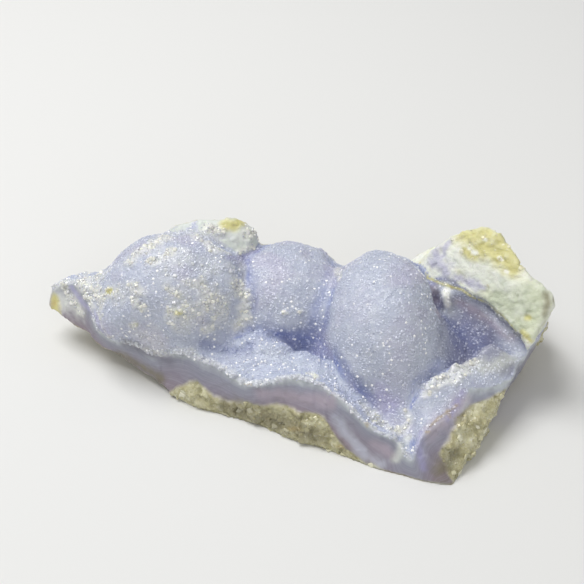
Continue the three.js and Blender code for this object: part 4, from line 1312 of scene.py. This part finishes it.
def scatter_tree(density):
    """Crystals on a surface: one at each of many evenly spaced points, as thick as the named weight says."""
    tree = bpy.data.node_groups.new("crystals_by_" + density, "GeometryNodeTree")
    tree.interface.new_socket("Surface", in_out="INPUT", socket_type="NodeSocketGeometry")
    for name, kind in SCATTER_INPUTS.items():
        tree.interface.new_socket(name, in_out="INPUT", socket_type=kind)
    tree.interface.new_socket("Crystals", in_out="OUTPUT", socket_type="NodeSocketGeometry")
    nodes = Nodes(tree)
    given = nodes.add("NodeGroupInput").outputs
    named = nodes.add("GeometryNodeInputNamedAttribute", {"Name": density}, data_type="FLOAT")
    position = nodes.add("GeometryNodeInputPosition").outputs[0]
    across = nodes.add("ShaderNodeSeparateXYZ", {0: position}).outputs["X"]
    after = nodes.math("GREATER_THAN", across, given["Left end"])
    before = nodes.math("LESS_THAN", across, given["Right end"])
    points = nodes.add("GeometryNodeDistributePointsOnFaces", {
        "Mesh": given["Surface"], "Selection": nodes.times(after, before),
        "Distance Min": given["Spacing"], "Density Max": given["Crowding"],
        "Density Factor": named.outputs["Attribute"], "Seed": given["Seed"],
    }, distribute_method="POISSON")
    turn = nodes.add("FunctionNodeRandomValue", {
        0: (-1, -1, -math.pi), 1: (1, 1, math.pi), "Seed": given["Seed"],
    }, data_type="FLOAT_VECTOR").outputs[0]
    lean = nodes.combine(given["Tilt"], given["Tilt"], 1.0)
    turn = nodes.vector("MULTIPLY", first=turn, second=lean)
    turn = nodes.add("FunctionNodeEulerToRotation", {0: turn}).outputs[0]
    turn = nodes.add("FunctionNodeRotateRotation", {
        "Rotation": points.outputs["Rotation"], "Rotate By": turn,
    }, rotation_space="LOCAL").outputs[0]
    other_seed = nodes.plus(given["Seed"], 7.0)
    inputs = {2: 0.0, 3: 1.0, "Seed": other_seed}
    chance = nodes.add("FunctionNodeRandomValue", inputs, data_type="FLOAT").outputs[1]
    share = nodes.math("POWER", chance, SMALLER)
    range_of_sizes = nodes.minus(given["Most size"], given["Least size"])
    size = nodes.plus(given["Least size"], nodes.times(share, range_of_sizes))
    scale = nodes.combine(size, size, nodes.times(size, given["Flatness"]))
    forms = nodes.add("GeometryNodeCollectionInfo", {
        "Collection": given["Forms"], "Separate Children": True, "Reset Children": True}).outputs[0]
    inputs = {4: 0, 5: PICKS, "Seed": other_seed}
    pick = nodes.add("FunctionNodeRandomValue", inputs, data_type="INT").outputs[2]
    crystals = nodes.add("GeometryNodeInstanceOnPoints", {
        "Points": points.outputs["Points"], "Instance": forms, "Pick Instance": True,
        "Instance Index": pick, "Rotation": turn, "Scale": scale}).outputs[0]
    inputs = {"Geometry": crystals, "Name": "own", "Value": chance}
    stored = nodes.add("GeometryNodeStoreNamedAttribute", inputs, data_type="FLOAT", domain="INSTANCE")
    crystals = nodes.add("GeometryNodeRealizeInstances", {0: stored.outputs[0]}).outputs[0]
    inputs = {"Geometry": crystals, "Material": given["Finish"]}
    crystals = nodes.add("GeometryNodeSetMaterial", inputs).outputs[0]
    nodes.add("NodeGroupOutput", {0: crystals})
    return tree


def scatter(name, surface, density, forms, finish, values):
    """Runs the crystal tree on a surface and returns its result as a plain mesh object."""
    carrier = bpy.data.objects.new(name + "_bed", surface.data)
    bpy.context.scene.collection.objects.link(carrier)
    holder = bpy.data.collections.new(name + "_forms")
    for form in forms:
        holder.objects.link(form)
    modifier = carrier.modifiers.new("crystals", "NODES")
    modifier.node_group = scatter_tree(density)
    chosen = dict(values, Forms=holder, Finish=finish)
    for item in modifier.node_group.interface.items_tree:
        if item.in_out == "INPUT" and item.name in chosen:
            modifier[item.identifier] = chosen[item.name]
    grown = bpy.data.meshes.new_from_object(carrier.evaluated_get(bpy.context.evaluated_depsgraph_get()))
    carrier.modifiers.remove(modifier)
    bpy.data.objects.remove(carrier)
    for form in forms:
        bpy.data.objects.remove(form)
    bpy.data.collections.remove(holder)
    grown.name = name
    places = np.empty(3 * len(grown.vertices), np.float32)
    grown.vertices.foreach_get("co", places)
    places[2::3] = np.maximum(places[2::3], 0)
    grown.vertices.foreach_set("co", places)
    piece = bpy.data.objects.new(name, grown)
    bpy.context.scene.collection.objects.link(piece)
    return piece


def seen_colour(name, description, *seen):
    return FloatVectorProperty(name=name, description=description, subtype="COLOR", default=paint(*seen))


def amount(name, description, default, unit="LENGTH"):
    return FloatProperty(name=name, description=description, default=default, unit=unit)


class StoneLook(bpy.types.PropertyGroup):
    """Sizes and colours of the stone."""

    cell: amount("Cell", "Width of the surface's faces", 0.0004)
    # The lining's painted shade and light, from the creases to where it stands free.
    deep: seen_colour("Creases", "Lining deep in the creases", 128, 139, 184)
    blue: seen_colour("Blue", "Lining between the lobes", 139, 152, 206)
    pale: seen_colour("Pale", "Lining that stands free", 190, 196, 214)
    lavender: seen_colour("Lavender", "Clouds in the lining", 186, 183, 206)
    # Lighter spots, laid where the lining is open: partly painted light.
    mottle: seen_colour("Mottle", "Lighter spots of the lining", 212, 215, 225)
    frost: seen_colour("Frost", "Lining on top of the ledge", 188, 196, 218)
    # Painted shade under the overhang.
    shaded: seen_colour("Shaded", "Lining under the overhang", 136, 137, 158)
    # Veins, and painted shade in the crease below the cap's ridge.
    violet: seen_colour("Violet", "Veins in broken faces", 166, 162, 206)


class DruseSizes(bpy.types.PropertyGroup):
    """Sizes of the crystals."""

    spacing: amount("Grain spacing", "Between fine crystals", 0.00034)
    least: amount("Least grain", "Least radius of a grain", 0.0001)
    most: amount("Most grain", "Most radius of a grain", 0.00033)
    coarse: amount("Coarse crystal", "Radius of a cream crystal", 0.0006)
    seed: IntProperty(name="Seed", description="Seed of the crystals' places", default=11)


class StageLook(bpy.types.PropertyGroup):
    """The floor and the lights."""

    floor: seen_colour("Floor", "Colour of the floor", 224, 224, 222)
    key: amount("Key light", "Strength of the main light", 2.9, "POWER")
    glints: amount("Small lights", "Strength of each small light", 0.1, "POWER")


# How lined the stone is where fine crystals grow, and the share of them that cream crystals leave out.
LINING = 0.5
CREAM_INSTEAD = 0.7
# How densely the coarse crystals grow in each kind of mark, and where cream marks and quartz carry them.
IN_CREAM = 0.6
IN_SUGAR = 0.36
IN_CREST = 0.45
IN_YELLOW = 0.2
CREAM_CARRIES = (0.1, 1.0)
QUARTZ_CARRIES = (0.5, 0.9)


def crystal_weights(found):
    """How densely each kind of crystal grows at each point."""
    lining = found["lined"] > LINING
    cream = IN_CREAM * smoothstep(*CREAM_CARRIES, found["cream"]) + IN_SUGAR * found["sugar"]
    cream = cream + IN_CREST * found["crest"] + IN_YELLOW * found["yellow"] * found["block"]
    return {
        "druse_weight": lining * (1 - CREAM_INSTEAD * found["cream"]) * (1 - found["ledge"]),
        "ledge_weight": lining * found["ledge"],
        "cream_weight": np.clip(cream, 0, 1) * (1 - found["rind"]) * found["few"],
        "quartz_weight": smoothstep(*QUARTZ_CARRIES, found["quartz"]),
    }


# What one operator builds and later ones need.
BUILT = {}


class CHALCEDONY_OT_stone(bpy.types.Operator):
    """Build the stone from its form"""

    bl_idname = "chalcedony.stone"
    bl_label = "Stone"

    def execute(self, context):
        look = context.scene.chalcedony_look
        stone = Stone(look.cell / MM)
        body = mesh_object("stone_body", stone.points, stone.quads)
        add_weights(body.data, {**stone.found, **crystal_weights(stone.found)})
        body.data.materials.append(stone_material(look))
        finish_piece(body, "chalcedony", "stone")
        BUILT["body"] = body
        return {"FINISHED"}


# The ends of the stone and where its fine crystals are divided into pieces, in metres.
LEFT_END = -0.06
LEFT_CUT = -0.012
RIGHT_CUT = 0.014
RIGHT_END = 0.06
EVERYWHERE = {"Left end": LEFT_END, "Right end": RIGHT_END}
# Forms of crystals: the number of sides, and the lean and shoulder of a grain or the slant of a block.
GRAIN_FORMS = ((5, -0.3, 0.1), (6, -0.05, 0.18), (5, 0.2, 0.26))
CREAM_FORMS = ((4, 0.35), (5, 0.15), (6, -0.05))
CHIP_FORMS = ((4, 0.5), (5, 0.2), (4, -0.1))
# How the crystals stand and how many fit on a square metre at most, with sizes in metres.
GRAINS = {"Tilt": 0.3, "Flatness": 0.5, "Crowding": 1.2e7}
LEDGE_GRAINS = {"Tilt": 0.6, "Flatness": 0.8}
CREAM = {"Tilt": 0.5, "Flatness": 0.5, "Crowding": 6e6, **EVERYWHERE}
CHIPS = {
    "Tilt": 0.45, "Flatness": 0.35, "Crowding": 0.8e6, "Spacing": 0.0009, "Least size": 0.00025,
    "Most size": 0.0009, **EVERYWHERE,
}
# The spacing and the least radius of the cream crystals, as shares of their greatest radius.
CREAM_SPACING = 0.6
CREAM_LEAST = 0.25
# The pieces of the druse: name, weight, the two ends and what is different.
DRUSE_PIECES = (
    ("druse_left", "druse_weight", LEFT_END, LEFT_CUT, {}),
    ("druse_middle", "druse_weight", LEFT_CUT, RIGHT_CUT, {}),
    ("druse_right", "druse_weight", RIGHT_CUT, RIGHT_END, {}),
    ("druse_ledge", "ledge_weight", LEFT_END, RIGHT_END, LEDGE_GRAINS),
)


def forms_of(name, make, rows):
    return [make(f"{name}_{k}", *row) for k, row in enumerate(rows)]


class CHALCEDONY_OT_druse(bpy.types.Operator):
    """Grow the fine crystals over the hollow's lining"""

    bl_idname = "chalcedony.druse"
    bl_label = "Druse"

    def execute(self, context):
        sizes = context.scene.chalcedony_sizes
        finish = druse_material(context.scene.chalcedony_look)
        for name, weight, left, right, own in DRUSE_PIECES:
            values = {"Spacing": sizes.spacing, "Least size": sizes.least, "Most size": sizes.most}
            values.update({"Seed": sizes.seed, "Left end": left, "Right end": right, **GRAINS, **own})
            forms = forms_of("grain", grain_form, GRAIN_FORMS)
            piece = scatter(name, BUILT["body"], weight, forms, finish, values)
            finish_piece(piece, "quartz_druse", "crystal_crust")
        return {"FINISHED"}


class CHALCEDONY_OT_coarse(bpy.types.Operator):
    """Grow the coarse cream crystals and the glassy quartz"""

    bl_idname = "chalcedony.coarse"
    bl_label = "Coarse crystals"

    def execute(self, context):
        sizes = context.scene.chalcedony_sizes
        values = {"Spacing": sizes.coarse * CREAM_SPACING, "Least size": sizes.coarse * CREAM_LEAST}
        values.update({"Most size": sizes.coarse, "Seed": sizes.seed + 1, **CREAM})
        finish = cream_material(context.scene.chalcedony_look)
        forms = forms_of("block", block_form, CREAM_FORMS)
        cream = scatter("cream_crystals", BUILT["body"], "cream_weight", forms, finish, values)
        finish_piece(cream, "quartz_druse", "crystal_crust")
        values = {"Seed": sizes.seed + 2, **CHIPS}
        forms = forms_of("chip", block_form, CHIP_FORMS)
        glassy = scatter("quartz_chips", BUILT["body"], "quartz_weight", forms, glassy_material(), values)
        finish_piece(glassy, "chalcedony", "stone")
        return {"FINISHED"}


# The stage, in metres: half of the floor's width, the two large lights, the point that they are aimed at,
# and the small lights, which climb round the stone in a spiral.
FLOOR_HALF = 1.5
FLOOR_CORNERS = ((-1, -1), (1, -1), (1, 1), (-1, 1))
KEY_PLACE = (-0.22, 0.12, 0.56)
KEY_WIDTH = 0.36
FILL_PLACE = (0.1, -0.5, 0.32)
FILL_WIDTH = 0.5
FILL_SHARE = 0.2
LIGHT_AIM = (0, 0, 0.01)
GLINT_COUNT = 9
GLINT_RING = 0.42
GLINT_FORWARD = 0.1
GLINT_HEIGHT = 0.3
GLINT_CLIMB = 0.035
GLINT_SIZE = 0.008
WORLD_STRENGTH = 0.36
NEAREST_SEEN = 0.01


def aimed(thing, place, goal):
    thing.location = place
    thing.rotation_euler = (Vector(goal) - Vector(place)).to_track_quat("-Z", "Y").to_euler()
    bpy.context.scene.collection.objects.link(thing)


def area_light(name, place, width, power):
    light = bpy.data.lights.new(name, "AREA")
    light.size = width
    light.energy = power
    aimed(bpy.data.objects.new(name, light), place, LIGHT_AIM)


def small_light(number, power):
    turn = GOLDEN_ANGLE * number
    place = (GLINT_RING * math.cos(turn), GLINT_RING * math.sin(turn) - GLINT_FORWARD,
             GLINT_HEIGHT + GLINT_CLIMB * number)
    light = bpy.data.lights.new(f"glint_{number}", "POINT")
    light.shadow_soft_size = GLINT_SIZE
    light.energy = power
    aimed(bpy.data.objects.new(light.name, light), place, (0, 0, 0))


class CHALCEDONY_OT_stage(bpy.types.Operator):
    """Set up the floor, the lights and the camera"""

    bl_idname = "chalcedony.stage"
    bl_label = "Stage"

    def execute(self, context):
        look = context.scene.chalcedony_stage
        corners = [(x * FLOOR_HALF / MM, y * FLOOR_HALF / MM, 0) for x, y in FLOOR_CORNERS]
        floor = mesh_object("floor", corners, [(0, 1, 2, 3)], smooth=False)
        material, _, shader = new_material("floor")
        shader.inputs["Base Color"].default_value = (*look.floor, 1)
        shader.inputs["Roughness"].default_value = 0.8
        floor.data.materials.append(material)
        area_light("key", KEY_PLACE, KEY_WIDTH, look.key)
        area_light("fill", FILL_PLACE, FILL_WIDTH, look.key * FILL_SHARE)
        for number in range(GLINT_COUNT):
            small_light(number, look.glints)
        world = bpy.data.worlds.new("studio")
        world.use_nodes = True
        world.node_tree.nodes["Background"].inputs["Color"].default_value = (1, 1, 1, 1)
        world.node_tree.nodes["Background"].inputs["Strength"].default_value = WORLD_STRENGTH
        context.scene.world = world
        context.scene.view_settings.view_transform = "Standard"
        camera = bpy.data.cameras.new("camera")
        camera.lens = VIEW_LENS
        camera.sensor_width = SENSOR_WIDTH
        camera.clip_start = NEAREST_SEEN
        place = to_frame(VIEW_POINT)
        holder = bpy.data.objects.new("camera", camera)
        aimed(holder, place, place + AHEAD)
        context.scene.camera = holder
        return {"FINISHED"}


class CHALCEDONY_PT_panel(bpy.types.Panel):
    """Shows the settings of the stone, the crystals and the stage, and a button for each step that builds
    them.
    """

    bl_idname = "CHALCEDONY_PT_panel"
    bl_label = "Chalcedony"
    bl_space_type = "VIEW_3D"
    bl_region_type = "UI"
    bl_category = "Chalcedony"

    def draw(self, context):
        for group in ("chalcedony_look", "chalcedony_sizes", "chalcedony_stage"):
            settings = getattr(context.scene, group)
            for name in settings.__annotations__:
                self.layout.prop(settings, name)
        for operator in OPERATORS:
            self.layout.operator(operator.bl_idname)


GROUPS = {"chalcedony_look": StoneLook, "chalcedony_sizes": DruseSizes, "chalcedony_stage": StageLook}
OPERATORS = (CHALCEDONY_OT_stone, CHALCEDONY_OT_druse, CHALCEDONY_OT_coarse, CHALCEDONY_OT_stage)


def register():
    for cls in (*GROUPS.values(), *OPERATORS, CHALCEDONY_PT_panel):
        bpy.utils.register_class(cls)
    for name, cls in GROUPS.items():
        setattr(bpy.types.Scene, name, PointerProperty(type=cls))


def unregister():
    for name in GROUPS:
        delattr(bpy.types.Scene, name)
    for cls in (CHALCEDONY_PT_panel, *reversed(OPERATORS), *reversed(tuple(GROUPS.values()))):
        bpy.utils.unregister_class(cls)


def main():
    register()
    bpy.ops.chalcedony.stone()
    bpy.ops.chalcedony.druse()
    bpy.ops.chalcedony.coarse()
    bpy.ops.chalcedony.stage()


if __name__ == "__main__":
    main()
